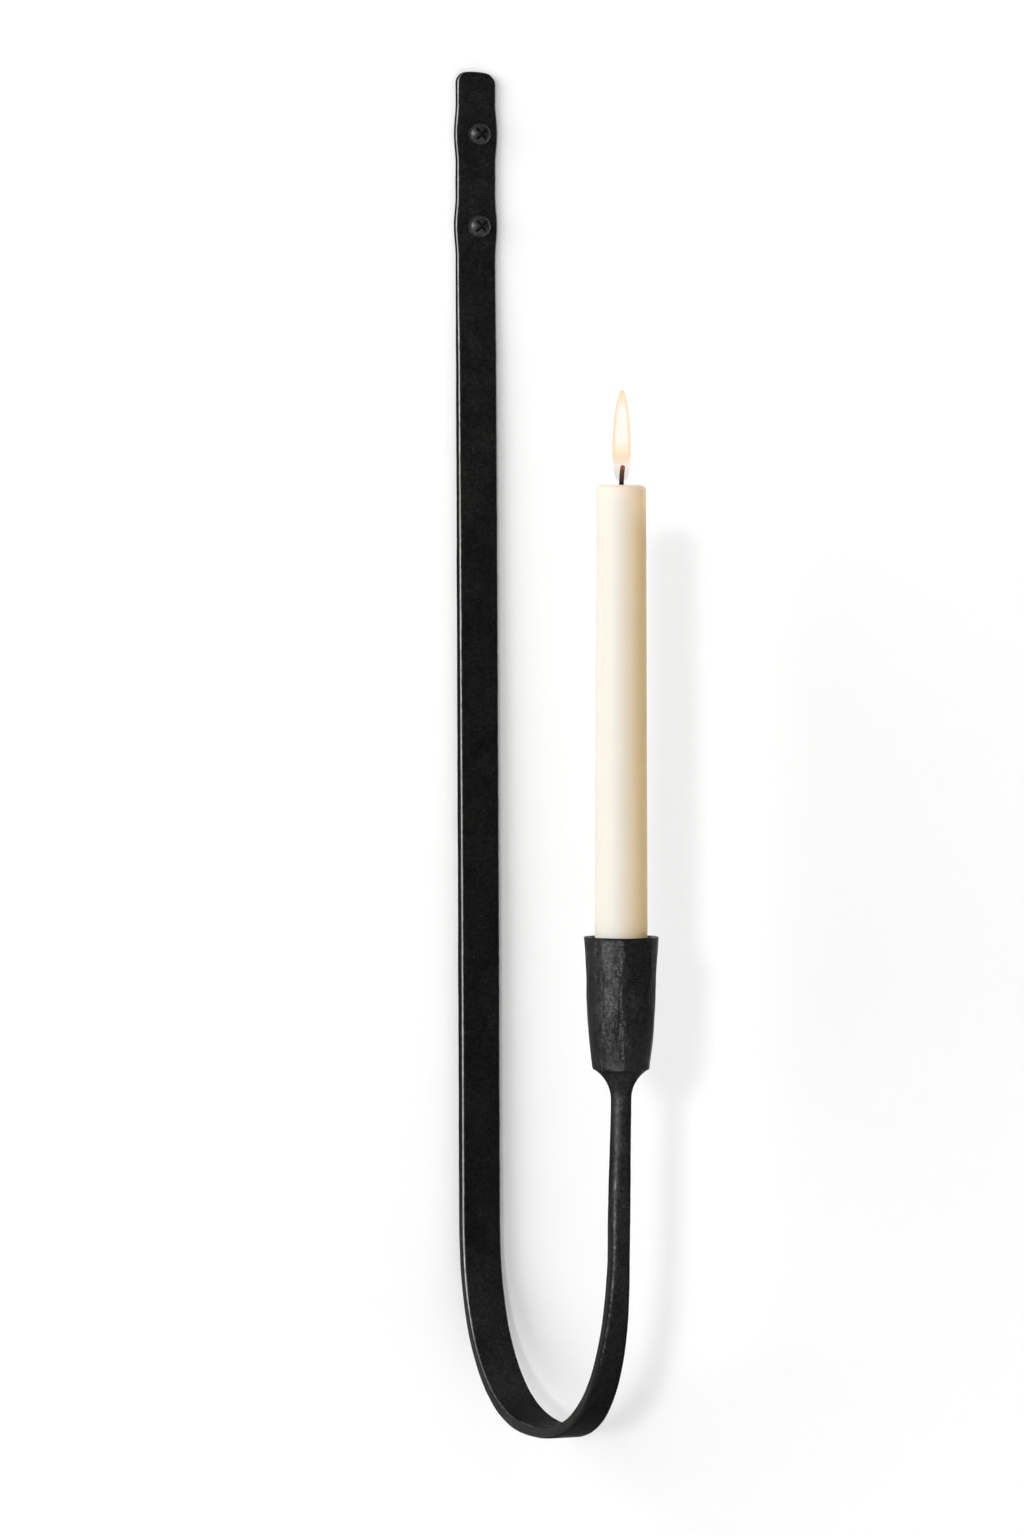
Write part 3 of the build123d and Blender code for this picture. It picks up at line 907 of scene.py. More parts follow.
def hammer_strokes_group(name):
    """Fine strokes of a small hammer, laid one over the other in upright rows that swing."""
    sheet, given, out = group_with(name, {"Spacing": 0.0006, "Sway": 0.0018}, ["Height", "Patch"])
    place, axes = sheet.place()
    row = sheet.fill(sheet.add("Mapping"), {"Scale": (1, 1, 0.22), "Vector": place}).outputs[0]
    swing = sheet.less(sheet.grain(row, 330.0, 1.5, 0.5), 0.5)
    swing = sheet.times(sheet.times(swing, given["Sway"]), 4.0)
    along = sheet.plus(axes["Z"], swing)
    phase = sheet.math("DIVIDE", sheet.times(along, 2 * math.pi), given["Spacing"])
    wave = sheet.plus(sheet.times(sheet.math("SINE", phase), 0.5), 0.5)
    patch = sheet.band(sheet.grain(row, 120.0, 4.0, 0.6), 0.38, 0.62)
    depth = sheet.plus(sheet.times(patch, 0.75), 0.25)
    scale = sheet.band(sheet.grain(place, 850.0, 1.0, 0.4), 0.38, 0.6, 0.2, 1.0)
    sheet.fill(out, {"Height": sheet.times(wave, sheet.times(depth, scale)), "Patch": patch})
    return sheet.tree


def new_material(name):
    """A material with a Principled BSDF. Returns the material, its sheet and the shader."""
    material = bpy.data.materials.new(name)
    material.use_nodes = True
    tree = material.node_tree
    return material, Sheet(tree), tree.nodes["Principled BSDF"]


def dull_loop(sheet, look, axes):
    """Where the iron is dull: on the flanks of the bar, down at the loop."""
    normal = sheet.add("SeparateXYZ")
    sheet.link(sheet.add("TexCoord").outputs["Normal"], normal.inputs[0])
    flank = sheet.band(sheet.math("ABSOLUTE", normal.outputs["X"]), 0.6, 0.9)
    low = sheet.band(axes["Z"], look.loop_top, look.loop_top - look.loop_fade)
    return sheet.times(low, flank)


def iron_tone(sheet, look, axes, height):
    """Brightness of the iron: grainy, darker down the strap, and with painted light where the strap
    turns into the loop.
    """
    grainy = sheet.band(height, 0.45, 0.95, 0.62, 1.4)
    deep = sheet.band(axes["Z"], look.tone_top, look.tone_foot, 1.0, look.foot_tone)
    # Painted light: near the wall at the loop's foot the colour is multiplied up, standing in for light
    # from above.
    near_wall = sheet.band(axes["Y"], look.painted_light_front, look.painted_light_back)
    turning = sheet.times(near_wall, sheet.band(axes["Z"], look.painted_light_top, look.painted_light_foot))
    turning = sheet.math("MULTIPLY_ADD", turning, look.loop_painted_light - 1, 1.0)
    return sheet.times(sheet.times(grainy, deep), turning)


def iron_material(name, look, wear, grain, grain_depth, stroke_depth, rough, shine, metal,
                  speck, edge_tint):
    """Black forged iron. Its edges are rubbed brighter, its drawn parts show fine strokes.

    Its gloss is strong where it faces the eye and gone at the outline, as on oiled black scale."""
    material, sheet, shader = new_material(name)
    skin = sheet.group("Forged skin", forged_skin_group, {"Grain size": grain})
    strokes = sheet.group("Hammer strokes", hammer_strokes_group,
                          {"Spacing": look.stroke_spacing, "Sway": look.stroke_sway})
    mask = sheet.group("Edge wear", edge_wear_group, {"Amount": wear})["Mask"]
    drawn = sheet.add("Attribute", attribute_name=DRAWN).outputs["Fac"]
    axes = sheet.place()[1]
    dull = dull_loop(sheet, look, axes)
    base = sheet.mix(skin["Blotch"], rgb(look.black), rgb(look.blotch))
    bright = sheet.mix(skin["Blotch"], rgb(look.drawn_black), rgb(look.drawn_blotch))
    base = sheet.mix(drawn, base, bright)
    base = sheet.scaled(base, iron_tone(sheet, look, axes, skin["Height"]))
    base = sheet.mix(dull, base, rgb(look.soot))
    base = sheet.mix(sheet.times(skin["Speck"], speck), base, rgb(look.worn))
    bare = sheet.math("MULTIPLY_ADD", dull, look.dull_metal - metal, metal)
    spread = sheet.band(skin["Blotch"], 0.0, 1.0, rough - look.plain_polish,
                        rough + look.blotch_matt)
    polish = sheet.times(sheet.times(strokes["Patch"], drawn), look.stroke_polish)
    spread = sheet.less(spread, polish)
    struck = sheet.bump(sheet.times(strokes["Height"], drawn), stroke_depth)
    bump = sheet.bump(skin["Height"], grain_depth)
    sheet.link(struck.outputs[0], bump.inputs["Normal"])
    sheet.fill(shader, {
        "Base Color": sheet.mix(mask, base, rgb(look.worn)),
        "Metallic": sheet.math("MAXIMUM", bare, sheet.times(mask, look.worn_metal)),
        "Roughness": sheet.less(spread, sheet.times(mask, look.worn_polish)),
        "Normal": bump.outputs[0],
        "Specular IOR Level": shine,
        "Specular Tint": (edge_tint, edge_tint, edge_tint, 1),
    })
    return material


def wax_material(look, top, half_width):
    """Ivory wax with painted light: amber on the side away from the lamps, warm at the top and glowing
    near the flame, standing in for light that shines through the wax.
    """
    material, sheet, shader = new_material("ivory_wax")
    place, axes = sheet.place()
    near_flame = sheet.band(axes["Z"], top - look.painted_glow_depth, top + 0.002)
    # Painted light: amber colour on the side away from the lamps, standing in for light shining through
    # the wax in the shade.
    painted_shade_side = sheet.band(axes["X"], half_width * look.painted_shade_warmth_start, half_width * look.painted_shade_warmth_end)
    cloud = sheet.band(sheet.grain(place, 45.0, 3.0, 0.5), 0.3, 0.7, 0.0, look.cloud_share)
    wax = sheet.mix(painted_shade_side, rgb(look.wax), rgb(look.painted_shade_warmth))
    wax = sheet.mix(cloud, wax, rgb([channel * look.cloud_tone for channel in look.wax]))
    # Painted light: a warm colour at the top stands in for the flame's light on the wax.
    warm = sheet.times(sheet.band(axes["Z"], top - look.painted_flame_light_depth, top), look.painted_flame_light_share)
    # Painted glow: emission near the flame, stronger on the side away from the lamps, stands in for the
    # flame's light through the wax.
    glow = sheet.times(near_flame, sheet.math("MULTIPLY_ADD", painted_shade_side, 0.9, 0.1))
    skin = sheet.bump(sheet.grain(place, 180.0, 3.0, 0.5), look.skin_depth, look.skin_strength)
    sheet.fill(shader, {
        "Base Color": sheet.mix(warm, wax, rgb(look.painted_flame_light)),
        "Emission Color": sheet.mix(glow, BLACK, rgb(look.glow)),
        "Emission Strength": look.painted_glow_strength,
        "Roughness": look.roughness,
        "Subsurface Weight": look.translucence,
        "Subsurface Radius": look.scatter_tint,
        "Subsurface Scale": look.scatter,
        "Specular IOR Level": look.shine,
        "Normal": skin.outputs[0],
    })
    return material


# Operators


class SCONCE_OT_forged_bar(bpy.types.Operator):
    """Builds the forged bar with its hammer dents and its screw holes"""

    bl_idname = "sconce.forged_bar"
    bl_label = "Forged bar"

    SEAT_SPARED = 0.0002
    EDGE_SPARED = 0.8
    KNOCK_SIZE, FINE_KNOCK_SIZE = 0.011, 0.0035
    CUT_DEPTH = 0.01

    def execute(self, context):
        bar, screw = context.scene.sconce_bar, context.scene.sconce_screws
        mesh = ringed_mesh("forged_bar", pad_rings(bar, screw) + bar_rings(bar) + neck_rings(bar))

        def depth_at(place, wear):
            """Shallow dents on the faces and knocks along the edges, none on the seat."""
            if place.z > bar.seat_height - self.SEAT_SPARED and place.y < -bar.reach / 2:
                return 0.0
            flat = bar.dent_depth * dent(place, bar.dent_size, (1, 1, 0.6), 3.1)
            flat *= 1 - self.EDGE_SPARED * wear
            knocked = 0.5 + 0.5 * wander(place, self.KNOCK_SIZE, 7.7)
            knocked *= 0.5 + 0.5 * wander(place, self.FINE_KNOCK_SIZE, 2.3)
            return flat + bar.arris_dent * wear * knocked

        press_in(mesh, depth_at)
        posts = [
            post(bar.hole_diameter / 2, Vector((screw.offset, -self.CUT_DEPTH, height)),
                 Vector((screw.offset, self.CUT_DEPTH, height)))
            for height in (screw.spacing / 2, -screw.spacing / 2)
        ]
        mesh = cut_away(mesh, posts)
        keep_in_box(mesh, "forged_strap")
        piece = mesh_piece("forged_bar", mesh, context.scene.sconce_iron, "sconce")
        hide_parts("forged_strap")
        return {"FINISHED"}


class SCONCE_OT_candle_cup(bpy.types.Operator):
    """Builds the hammered cup"""

    bl_idname = "sconce.candle_cup"
    bl_label = "Candle cup"

    AROUND = 160
    ROWS, LIP_STEPS, BORE_ROWS = 84, 5, 24
    BASE_SHARE = 0.7
    HEEL_START, HEEL_SHARE, HEEL_PULL, HEEL_REACH = 0.55, 0.62, 0.55, 0.0035
    BASE_WEAR, OUTER_WEAR, RIM_WEAR, MOUTH_WEAR, INNER_WEAR = 0.2, 0.7, 0.6, 0.4, 0.5
    FLOOR_SHARES = (0.75, 0.5, 0.25, 0)
    UNDER_SHARE, UNDER_HEIGHT = 0.93, 0.001
    SMALL_FACET, SMALL_FACET_TALL, SMALL_FACET_DEPTH = 0.55, 1.4, 0.3
    RIPPLE_SIZE, RIPPLE_DEPTH = 0.0016, 0.00004
    LIP_SPARED = 0.6

    def outline(self, bar, cup):
        """Radius, height and wear round the wall of the cup, from the hole up the outside."""
        seat = bar.seat_height
        rim = seat + cup.height
        base, lip = cup.base_diameter / 2, cup.lip_radius
        points = [(cup.hole_diameter / 2, seat, 0), (base * self.BASE_SHARE, seat, 0),
                  (base, seat, self.BASE_WEAR)]
        marks = [(cup.heel_diameter / 2, seat + cup.heel_height),
                 (cup.shoulder_diameter / 2, seat + cup.shoulder_height),
                 (cup.wall_diameter / 2, rim - cup.lip_length),
                 (cup.rim_diameter / 2, rim)]
        start = seat + cup.heel_height * self.HEEL_START
        first = base + (cup.heel_diameter - cup.base_diameter) / 2 * self.HEEL_SHARE
        for row in range(self.ROWS + 1):
            height = start + (rim - lip - start) * row / self.ROWS
            radius = smooth_radius(marks, height)
            near_heel = 1 - ease(height, start, start + self.HEEL_REACH)
            pulled = first + (radius - first) * self.HEEL_PULL
            points.append((radius * (1 - near_heel) + pulled * near_heel, height, 0.0))
        angles = [math.pi / 2 * step / self.LIP_STEPS for step in range(1, self.LIP_STEPS)]
        outer, mouth = cup.rim_diameter / 2, cup.mouth_diameter / 2
        for angle in angles:
            points.append((outer - lip * (1 - math.cos(angle)), rim - lip * (1 - math.sin(angle)),
                           self.OUTER_WEAR))
        points += [(outer - lip, rim, self.RIM_WEAR), (mouth + lip, rim, self.MOUTH_WEAR)]
        for angle in angles:
            points.append((mouth + lip * (1 - math.sin(angle)), rim - lip * (1 - math.cos(angle)),
                           self.INNER_WEAR))
        bottom = seat + cup.floor
        for row in range(self.BORE_ROWS + 1):
            height = rim - lip + (bottom - rim + lip) * row / self.BORE_ROWS
            radius = between(height, bottom, rim, cup.foot_diameter / 2, mouth)
            points.append((radius, height, 0))
        for share in self.FLOOR_SHARES:
            radius = cup.hole_diameter / 2 + (cup.foot_diameter - cup.hole_diameter) / 2 * share
            points.append((radius, bottom, 0))
        return points

    def execute(self, context):
        bar, cup = context.scene.sconce_bar, context.scene.sconce_cup
        rings = [
            turned_ring(radius, height, bar.reach, self.AROUND, wear)
            for radius, height, wear in self.outline(bar, cup)
        ]
        mesh = ringed_mesh("hammered_cup", rings, closed=True)
        middle = Vector((0, -bar.reach, 0))

        def depth_at(place, wear):
            """Facets, smaller facets over them and a fine ripple, on the outside only."""
            out = Vector((place.x, place.y + bar.reach, 0))
            inside = out.length < cup.heel_diameter / 2 * self.UNDER_SHARE
            if inside or place.z < bar.seat_height + self.UNDER_HEIGHT:
                return 0.0
            tall = cup.facet_width / cup.facet_height
            facet = dent(place - middle, cup.facet_width, (1, 1, tall), 1.3)
            small = dent(place - middle, cup.facet_width * self.SMALL_FACET,
                         (1, 1, tall * self.SMALL_FACET_TALL), 5.9)
            ripple = 0.5 + 0.5 * wander(place, self.RIPPLE_SIZE, 4.0)
            fade = 1 - self.LIP_SPARED * ease(wear, 0.3, 0.7)
            return fade * (cup.facet_depth * facet + cup.facet_depth * self.SMALL_FACET_DEPTH * small
                           + self.RIPPLE_DEPTH * ripple)

        press_in(mesh, depth_at)
        keep_in_box(mesh, "candle_cup")
        piece = mesh_piece("hammered_cup", mesh, context.scene.sconce_cup_iron, "sconce")
        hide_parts("candle_cup")
        return {"FINISHED"}


def smooth_radius(marks, height):
    """Radius on a smooth curve through marks of (radius, height)."""
    last = len(marks) - 1
    for index in range(last):
        (start, low), (end, high) = marks[index], marks[index + 1]
        if height <= high or index == last - 1:
            before = marks[max(index - 1, 0)]
            after = marks[min(index + 2, last)]
            gap = high - low
            leave = (end - before[0]) / (high - before[1]) * gap
            arrive = (after[0] - start) / (after[1] - low) * gap
            share = (height - low) / gap
            square, cube = share**2, share**3
            return ((2 * cube - 3 * square + 1) * start + (cube - 2 * square + share) * leave
                    + (3 * square - 2 * cube) * end + (cube - square) * arrive)


class SCONCE_OT_wall_screws(bpy.types.Operator):
    """Builds both wall screws with their cross recesses and threads"""

    bl_idname = "sconce.wall_screws"
    bl_label = "Wall screws"

    AROUND = 48
    DOME_SHARES = (0.12, 0.24, 0.36, 0.48, 0.6, 0.72, 0.82, 0.9, 0.96, 1.0)
    WORN_SHARE, HEAD_EDGE_WEAR = 0.9, 0.6
    RINGS_PER_TURN = 14
    CORE_TIP, CREST_TIP = 0.03, 0.06
    RIDGE_HALF_WIDTH = 0.26
    ABOVE_HEAD = 0.001
    # How far down the recess its rows are, and how far its arms reach there
    RECESS_ROWS = ((0.0, 1.08), (0.35, 1.0), (1.0, 0.55))

    def rings(self, bar, screw, height):
        """Rings from the dome's top over the head and the shank to the thread's point."""
        face = -bar.pad_thickness
        tip = face + screw.screw_length
        head, shank = screw.head_diameter / 2, screw.shank_diameter / 2
        thread, root = screw.thread_diameter / 2, screw.root_diameter / 2
        dome = screw.head_height - screw.head_land
        outline = []
        for share in self.DOME_SHARES:
            rise = dome * (1 - share**screw.dome_fullness) ** (1 / screw.dome_fullness)
            wear = 1.0 if share > self.WORN_SHARE else 0.0
            outline.append((head * share, face - screw.head_land - rise, 0, wear))
        begin = screw.shank_past_wall
        outline += [(head, face, 0, self.HEAD_EDGE_WEAR), (shank, face, 0, 0.0),
                    (shank, begin, 0, 0.0)]
        steps = round((tip - begin) / (screw.pitch / self.RINGS_PER_TURN))
        for step in range(steps + 1):
            place = begin + (tip - begin) * step / steps
            taper = min((tip - place) / screw.point_length, 1.0)
            grow = ease(place, begin, begin + screw.pitch)
            core = (root + (shank - root) * (1 - grow)) * max(taper, self.CORE_TIP)
            outline.append((core, place, (thread - root) * grow * max(taper, self.CREST_TIP), 0.0))
        rings = []
        for radius, place, crest, wear in outline:
            ring = []
            for index in range(self.AROUND):
                angle = 2 * math.pi * index / self.AROUND
                wave = (place / screw.pitch - index / self.AROUND) % 1.0
                ridge = max(0.0, 1 - abs(wave - 0.5) / self.RIDGE_HALF_WIDTH)
                full = radius + crest * ridge
                ring.append((Vector((screw.offset + full * math.cos(angle), place,
                                     height + full * math.sin(angle))), wear, 0.0))
            rings.append(ring)
        return rings

    def execute(self, context):
        bar, screw = context.scene.sconce_bar, context.scene.sconce_screws
        for node, height in (("upper_screw", screw.spacing / 2), ("lower_screw", -screw.spacing / 2)):
            mesh = ringed_mesh(node + "_threaded", self.rings(bar, screw, height), "pole", "pole")
            mesh = cut_away(mesh, [self.cross(bar, screw, height)])
            keep_in_box(mesh, node)
            piece = mesh_piece(node + "_threaded", mesh, context.scene.sconce_screw_black,
                               "sconce", 35)
            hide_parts(node)
        return {"FINISHED"}

    def cross(self, bar, screw, height):
        """The body of the cross recess, its slots tapering to a point, to cut with."""
        top = -bar.pad_thickness - screw.head_height - self.ABOVE_HEAD
        deep = screw.recess_depth + self.ABOVE_HEAD
        half, slot = screw.recess_span / 2, screw.recess_slot / 2
        work = bmesh.new()
        outline = [(slot, slot), (half, slot), (half, -slot), (slot, -slot), (slot, -half),
                   (-slot, -half), (-slot, -slot), (-half, -slot), (-half, slot), (-slot, slot),
                   (-slot, half), (slot, half)]
        rows = []
        cosine, sine = math.cos(screw.recess_turn), math.sin(screw.recess_turn)
        for down, share in self.RECESS_ROWS:
            row = []
            for corner in outline:
                x, z = (value * share if abs(value) == half else value for value in corner)
                row.append(work.verts.new((
                    screw.offset + x * cosine - z * sine,
                    top + deep * down,
                    height + x * sine + z * cosine,
                )))
            rows.append(row)
        bridge(work, rows)
        work.faces.new(rows[0])
        work.faces.new(rows[-1][::-1])
        bmesh.ops.recalc_face_normals(work, faces=work.faces)
        return new_object("cross", finished_mesh(work, "cross"))


class SCONCE_OT_candle(bpy.types.Operator):
    """Gives the candle its wax"""

    bl_idname = "sconce.candle"
    bl_label = "Candle"

    def execute(self, context):
        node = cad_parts["candle"]
        low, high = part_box("candle")
        wax = wax_material(context.scene.sconce_wax, high.z, (high.x - low.x) / 2)
        node.data.materials.clear()
        node.data.materials.append(wax)
        return {"FINISHED"}


class SCONCE_OT_wick(bpy.types.Operator):
    """Builds the braided wick with its charred end and its ember"""

    bl_idname = "sconce.wick"
    bl_label = "Wick"

    AROUND = 24
    HIDDEN_STEPS, SHOWN_STEPS, BEND_STEPS = 40, 20, 60
    SHOWN_LENGTH = 0.004
    STRANDS = 3
    NARROWEST = 0.02

    def route(self, bar, wick):
        """Middle points and directions of the cord, closer together where it shows."""
        foot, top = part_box("candle")[0].z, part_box("candle")[1].z
        bend_start = top - wick.pool_depth + wick.straight
        rise = top + wick.above_candle - bend_start
        radius = rise / math.sin(wick.bend)
        shown = bend_start - self.SHOWN_LENGTH
        for step in range(self.HIDDEN_STEPS):
            height = foot + (shown - foot) * step / self.HIDDEN_STEPS
            yield Vector((0, -bar.reach, height)), 0.0
        for step in range(self.SHOWN_STEPS):
            height = shown + self.SHOWN_LENGTH * step / self.SHOWN_STEPS
            yield Vector((0, -bar.reach, height)), 0.0
        for step in range(self.BEND_STEPS + 1):
            angle = wick.bend * step / self.BEND_STEPS
            yield Vector((radius * (1 - math.cos(angle)), -bar.reach,
                          bend_start + radius * math.sin(angle))), angle

    def execute(self, context):
        bar, wick = context.scene.sconce_bar, context.scene.sconce_wick
        rings = []
        route = list(self.route(bar, wick))
        tip = route[-1][0].z
        for middle, lean in route:
            ring = []
            short = max(0.0, 1 - (tip - middle.z) / (wick.diameter / 2))
            narrow = math.sqrt(max(1 - short**2, self.NARROWEST))
            for index in range(self.AROUND):
                angle = 2 * math.pi * index / self.AROUND
                along = 2 * math.pi * middle.z / wick.braid_turn
                strand = max(math.cos(self.STRANDS * angle + along),
                             math.cos(self.STRANDS * angle - along))
                radius = (wick.diameter / 2 - wick.braid_depth * (0.5 - 0.5 * strand)) * narrow
                x, y = radius * math.cos(angle), radius * math.sin(angle)
                place = middle + Vector((x * math.cos(lean), y, -x * math.sin(lean)))
                ring.append((place, 0.0, 0.0))
            rings.append(ring)
        mesh = ringed_mesh("braided_wick", rings, "pole", "pole")
        keep_in_box(mesh, "wick")
        piece = mesh_piece("braided_wick", mesh, self.material(wick, tip), "candle", 70)
        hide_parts("wick")
        return {"FINISHED"}

    def material(self, wick, tip):
        """Cotton that is burnt black above the wax and glows at its tip."""
        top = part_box("candle")[1].z
        material, sheet, shader = new_material("charred_wick")
        place, axes = sheet.place()
        burnt = sheet.band(axes["Z"], top - wick.char_start, top - wick.char_full)
        cord = sheet.mix(burnt, rgb(wick.cotton), rgb(wick.char))
        fleck = sheet.band(sheet.grain(place, 1600.0, 3.0, 0.6), 0.45, 0.7)
        ember = sheet.band(axes["Z"], tip - wick.ember_start, tip - wick.ember_full)
        sheet.fill(shader, {
            "Base Color": sheet.mix(sheet.times(fleck, 0.3), cord, rgb(wick.fleck)),
            "Emission Color": sheet.mix(ember, BLACK, rgb(wick.ember)),
            "Emission Strength": wick.ember_strength,
            "Roughness": 0.8,
            "Specular IOR Level": 0.2,
            "Normal": sheet.bump(sheet.grain(place, 1400.0, 2.0, 0.5), wick.fray_depth).outputs[0],
        })
        return material


class SCONCE_OT_flame(bpy.types.Operator):
    """Builds the flame as a shell of light"""

    bl_idname = "sconce.flame"
    bl_label = "Flame"

    RINGS, AROUND = 72, 40
    FOOT_FULLNESS, TIP_FULLNESS = 0.37, 0.6

    def execute(self, context):
        flame = context.scene.sconce_flame
        reach = context.scene.sconce_bar.reach
        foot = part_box("candle")[1].z + flame.lift
        rings = []
        for step in range(1, self.RINGS):
            share = 0.5 - 0.5 * math.cos(math.pi * step / self.RINGS)
            radius = flame.width / 2 * self.fullness(share, flame.widest)
            ring = turned_ring(radius, foot + flame.height * share, reach, self.AROUND)
            lean = Vector((flame.lean * share**2, 0, 0))
            rings.append([(place + lean, wear, drawn) for place, wear, drawn in ring])
        mesh = ringed_mesh("flame", rings, "pole", "pole")
        piece = mesh_piece("flame", mesh, self.material(flame, foot), "candle", 80)
        piece.visible_shadow = False
        return {"FINISHED"}

    def fullness(self, share, widest):
        """Half width of the flame as a share of its largest."""
        if share < widest:
            return (1 - ((widest - share) / widest) ** 2) ** self.FOOT_FULLNESS
        return (1 - ((share - widest) / (1 - widest)) ** 2) ** self.TIP_FULLNESS

    def material(self, flame, foot):
        """Light that is bright in its heart, peach at its rim and clear round the wick."""
        material, sheet, shader = new_material("flame_light")
        height = sheet.less(sheet.place()[1]["Z"], foot)
        share = sheet.math("DIVIDE", height, flame.height)
        inside = sheet.ramp(share, (
            (0.07, flame.smoke), (0.195, flame.amber), (0.26, flame.peach), (0.33, flame.gold),
            (0.46, flame.heart), (0.78, flame.heart), (0.9, flame.gold), (1.0, flame.rim),
        ))
        facing = sheet.add("LayerWeight").outputs["Facing"]
        edge = sheet.times(sheet.band(facing, 0.08, 0.6), sheet.band(share, 0.08, 0.3))
        clear = sheet.band(share, 0.18, 0.34, 0.17, 1.0)
        sheet.fill(shader, {
            "Base Color": BLACK,
            "Emission Color": sheet.mix(edge, inside, rgb(flame.rim)),
            "Emission Strength": 1.0,
            "Specular IOR Level": 0.0,
            "Alpha": sheet.times(clear, sheet.band(share, 0.0, 0.06)),
        })
        return material


class SCONCE_OT_stage(bpy.types.Operator):
    """Builds the wall, the floor, the lamps, the sky and the camera"""

    bl_idname = "sconce.stage"
    bl_label = "Stage"

    MATT, WALL_SHINE = 0.9, 0.1
    LAMP_DISTANCE = 3

    def execute(self, context):
        stage = context.scene.sconce_stage
        self.wall(stage)
        self.floor(stage)
        self.lamps(context, stage)
        self.sky(context, stage)
        self.camera(context, stage)
        return {"FINISHED"}

    def backdrop(self, name, corners, material):
        """A flat face of the stage."""
        mesh = bpy.data.meshes.new(name)
        mesh.from_pydata(corners, [], [tuple(range(len(corners)))])
        mesh.materials.append(material)
        plane = new_object(name, mesh)

    def wall(self, stage):
        """The painted wall, clear where it is seen from behind."""
        material, sheet, shader = new_material("painted_wall")
        sheet.fill(shader, {"Base Color": rgb(stage.wall), "Roughness": self.MATT,
                            "Specular IOR Level": self.WALL_SHINE})
        clear = sheet.add("BsdfTransparent")
        blend = sheet.add("MixShader")
        sheet.link(sheet.add("NewGeometry").outputs["Backfacing"], blend.inputs[0])
        sheet.link(shader.outputs[0], blend.inputs[1])
        sheet.link(clear.outputs[0], blend.inputs[2])
        sheet.link(blend.outputs[0], material.node_tree.nodes["Material Output"].inputs["Surface"])
        low, high = stage.floor_height, stage.wall_top
        half, behind = stage.wall_half_width, stage.wall_gap
        self.backdrop("wall", [(-half, behind, low), (half, behind, low), (half, behind, high),
                               (-half, behind, high)], material)

    def floor(self, stage):
        material, sheet, shader = new_material("pale_floor")
        sheet.fill(shader, {"Base Color": rgb(stage.floor), "Roughness": self.MATT})
        half, height = stage.floor_half_width, stage.floor_height
        self.backdrop("floor", [(-half, -half, height), (half, -half, height),
                                (half, half, height), (-half, half, height)], material)

    def lamps(self, context, stage):
        """A broad light like a window and a narrow one, both from the left."""
        for name, side, rise, spread, strength in (
            ("broad_light", stage.window_side, stage.window_rise, stage.window_spread,
             stage.window_strength),
            ("narrow_light", stage.lamp_side, stage.lamp_rise, stage.lamp_spread,
             stage.lamp_strength),
        ):
            lamp = bpy.data.lights.new(name, "SUN")
            lamp.energy = strength
            lamp.angle = spread
            holder = new_object(name, lamp)
            way = Vector((math.sin(side) * math.cos(rise), -math.cos(side) * math.cos(rise),
                          math.sin(rise)))
            holder.location = way * self.LAMP_DISTANCE
            holder.rotation_euler = (-way).to_track_quat("-Z", "Y").to_euler()

    def sky(self, context, stage):
        """The room's light, brightest far out on the left."""
        world = bpy.data.worlds.new("room")
        context.scene.world = world
        world.use_nodes = True
        sheet = Sheet(world.node_tree)
        light = world.node_tree.nodes["Background"]
        split = sheet.add("SeparateXYZ")
        sheet.link(sheet.add("TexCoord").outputs["Generated"], split.inputs[0])
        across = sheet.math("MULTIPLY_ADD", split.outputs["X"], 0.5, 0.5)
        sheet.link(sheet.ramp(across, (
            (0.05, [stage.side_sky] * 3), (0.12, [stage.left_sky] * 3),
            (0.5, [stage.middle_sky] * 3), (0.88, [stage.right_sky] * 3),
        )), light.inputs["Color"])

    def camera(self, context, stage):
        lens = bpy.data.cameras.new("camera")
        lens.sensor_width = stage.frame_width
        lens.lens = stage.lens
        lens.clip_end = stage.sight
        camera = new_object("camera", lens)
        camera.location = stage.camera_place
        camera.rotation_euler = (stage.camera_tilt, 0, stage.camera_turn)
        context.scene.camera = camera
        context.scene.view_settings.view_transform = "Standard"


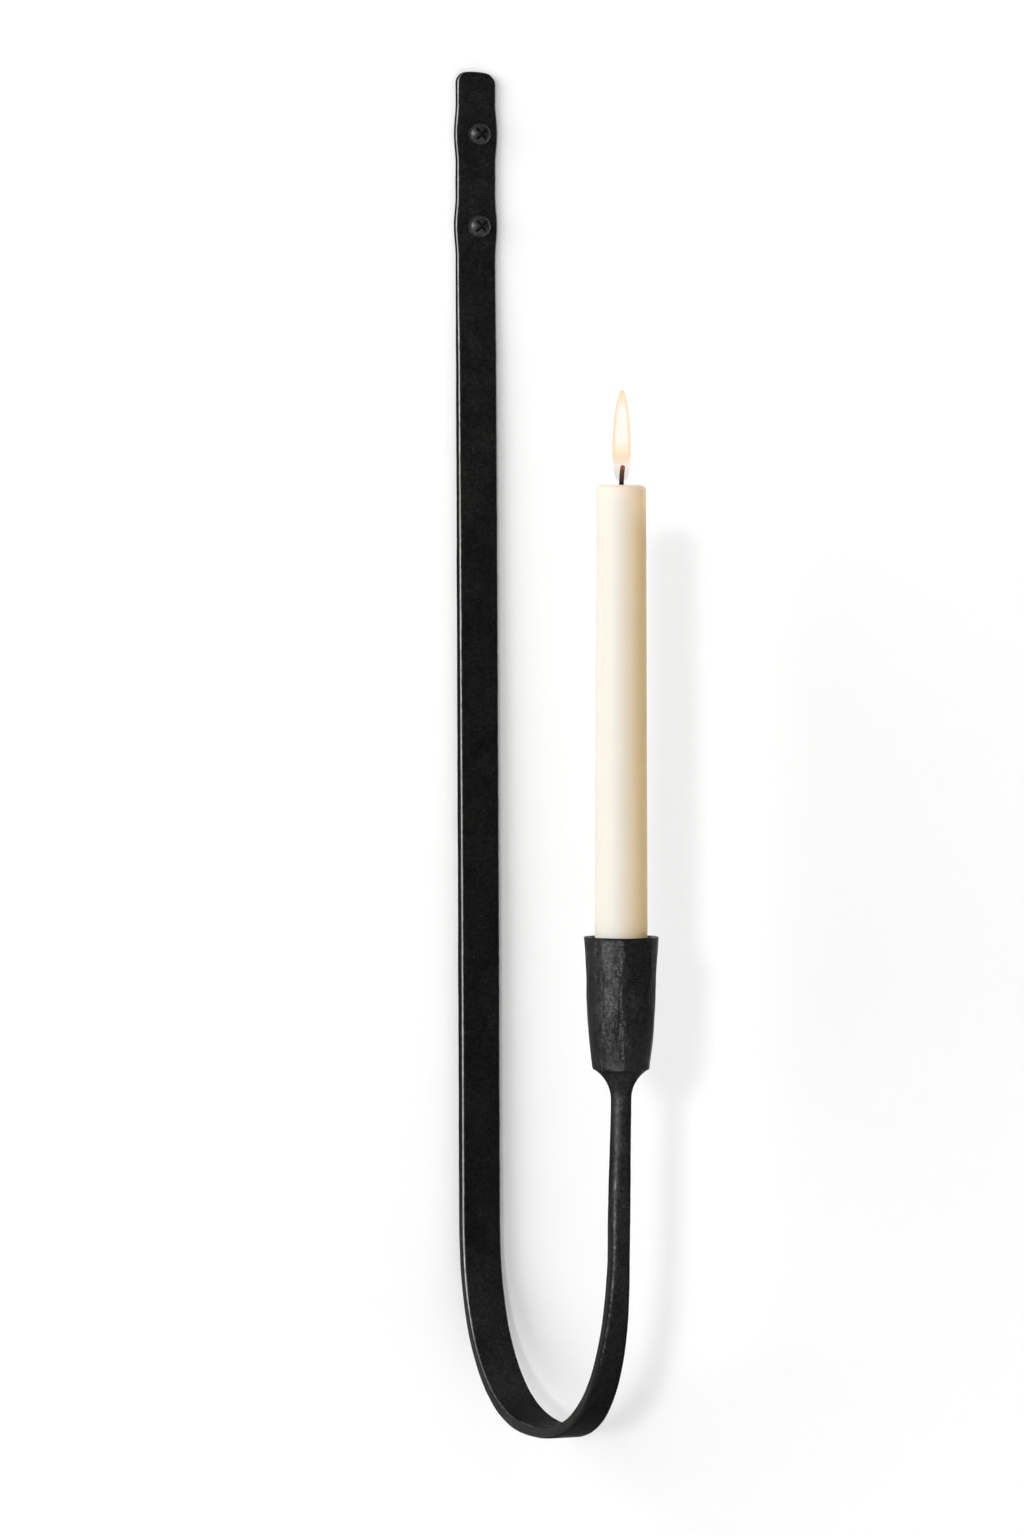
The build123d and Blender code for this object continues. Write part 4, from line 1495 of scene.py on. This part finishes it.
class SCONCE_OT_finishes(bpy.types.Operator):
    """Makes the iron finishes that the bar, the cup and the screws share"""

    bl_idname = "sconce.finishes"
    bl_label = "Iron finishes"

    def execute(self, context):
        scene, look = context.scene, context.scene.sconce_iron_look
        scene.sconce_iron = iron_material(
            "bar_iron", look, wear=0.62, grain=800.0, grain_depth=0.00006, stroke_depth=0.00007,
            rough=0.44, shine=0.16, metal=0.82, speck=0.25, edge_tint=0.0)
        scene.sconce_cup_iron = iron_material(
            "cup_iron", look, wear=0.4, grain=650.0, grain_depth=0.00004, stroke_depth=0.00009,
            rough=0.38, shine=0.1, metal=0.92, speck=0.0, edge_tint=0.5)
        scene.sconce_screw_black = iron_material(
            "screw_black", look, wear=0.15, grain=1300.0, grain_depth=0.000025, stroke_depth=0.0,
            rough=0.28, shine=0.36, metal=0.2, speck=0.0, edge_tint=1.0)
        return {"FINISHED"}


class SCONCE_PT_panel(bpy.types.Panel):
    """Lists the pieces of the sconce"""

    bl_idname = "SCONCE_PT_panel"
    bl_label = "Sconce"
    bl_space_type = "VIEW_3D"
    bl_region_type = "UI"
    bl_category = "Sconce"

    def draw(self, context):
        for operator in OPERATORS:
            self.layout.operator(operator.bl_idname)


SETTINGS = {
    "sconce_bar": BarSizes,
    "sconce_cup": CupSizes,
    "sconce_screws": ScrewSizes,
    "sconce_iron_look": IronLook,
    "sconce_wax": CandleLook,
    "sconce_wick": WickSizes,
    "sconce_flame": FlameSizes,
    "sconce_stage": StageSettings,
}
FINISHES = ("sconce_iron", "sconce_cup_iron", "sconce_screw_black")
OPERATORS = (
    SCONCE_OT_stage, SCONCE_OT_finishes, SCONCE_OT_forged_bar, SCONCE_OT_candle_cup,
    SCONCE_OT_wall_screws, SCONCE_OT_candle, SCONCE_OT_wick, SCONCE_OT_flame,
)


def register():
    for name, group in SETTINGS.items():
        bpy.utils.register_class(group)
        setattr(bpy.types.Scene, name, bpy.props.PointerProperty(type=group))
    for name in FINISHES:
        setattr(bpy.types.Scene, name, bpy.props.PointerProperty(type=bpy.types.Material))
    for each in (*OPERATORS, SCONCE_PT_panel):
        bpy.utils.register_class(each)


def unregister():
    for each in (SCONCE_PT_panel, *reversed(OPERATORS)):
        bpy.utils.unregister_class(each)
    for name in (*FINISHES, *SETTINGS):
        delattr(bpy.types.Scene, name)
    for group in SETTINGS.values():
        bpy.utils.unregister_class(group)


def main():
    register()
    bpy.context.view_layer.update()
    bpy.ops.sconce.stage()
    bpy.ops.sconce.finishes()
    bpy.ops.sconce.forged_bar()
    bpy.ops.sconce.candle_cup()
    bpy.ops.sconce.wall_screws()
    bpy.ops.sconce.candle()
    bpy.ops.sconce.wick()
    bpy.ops.sconce.flame()


if __name__ == "__main__":
    main()
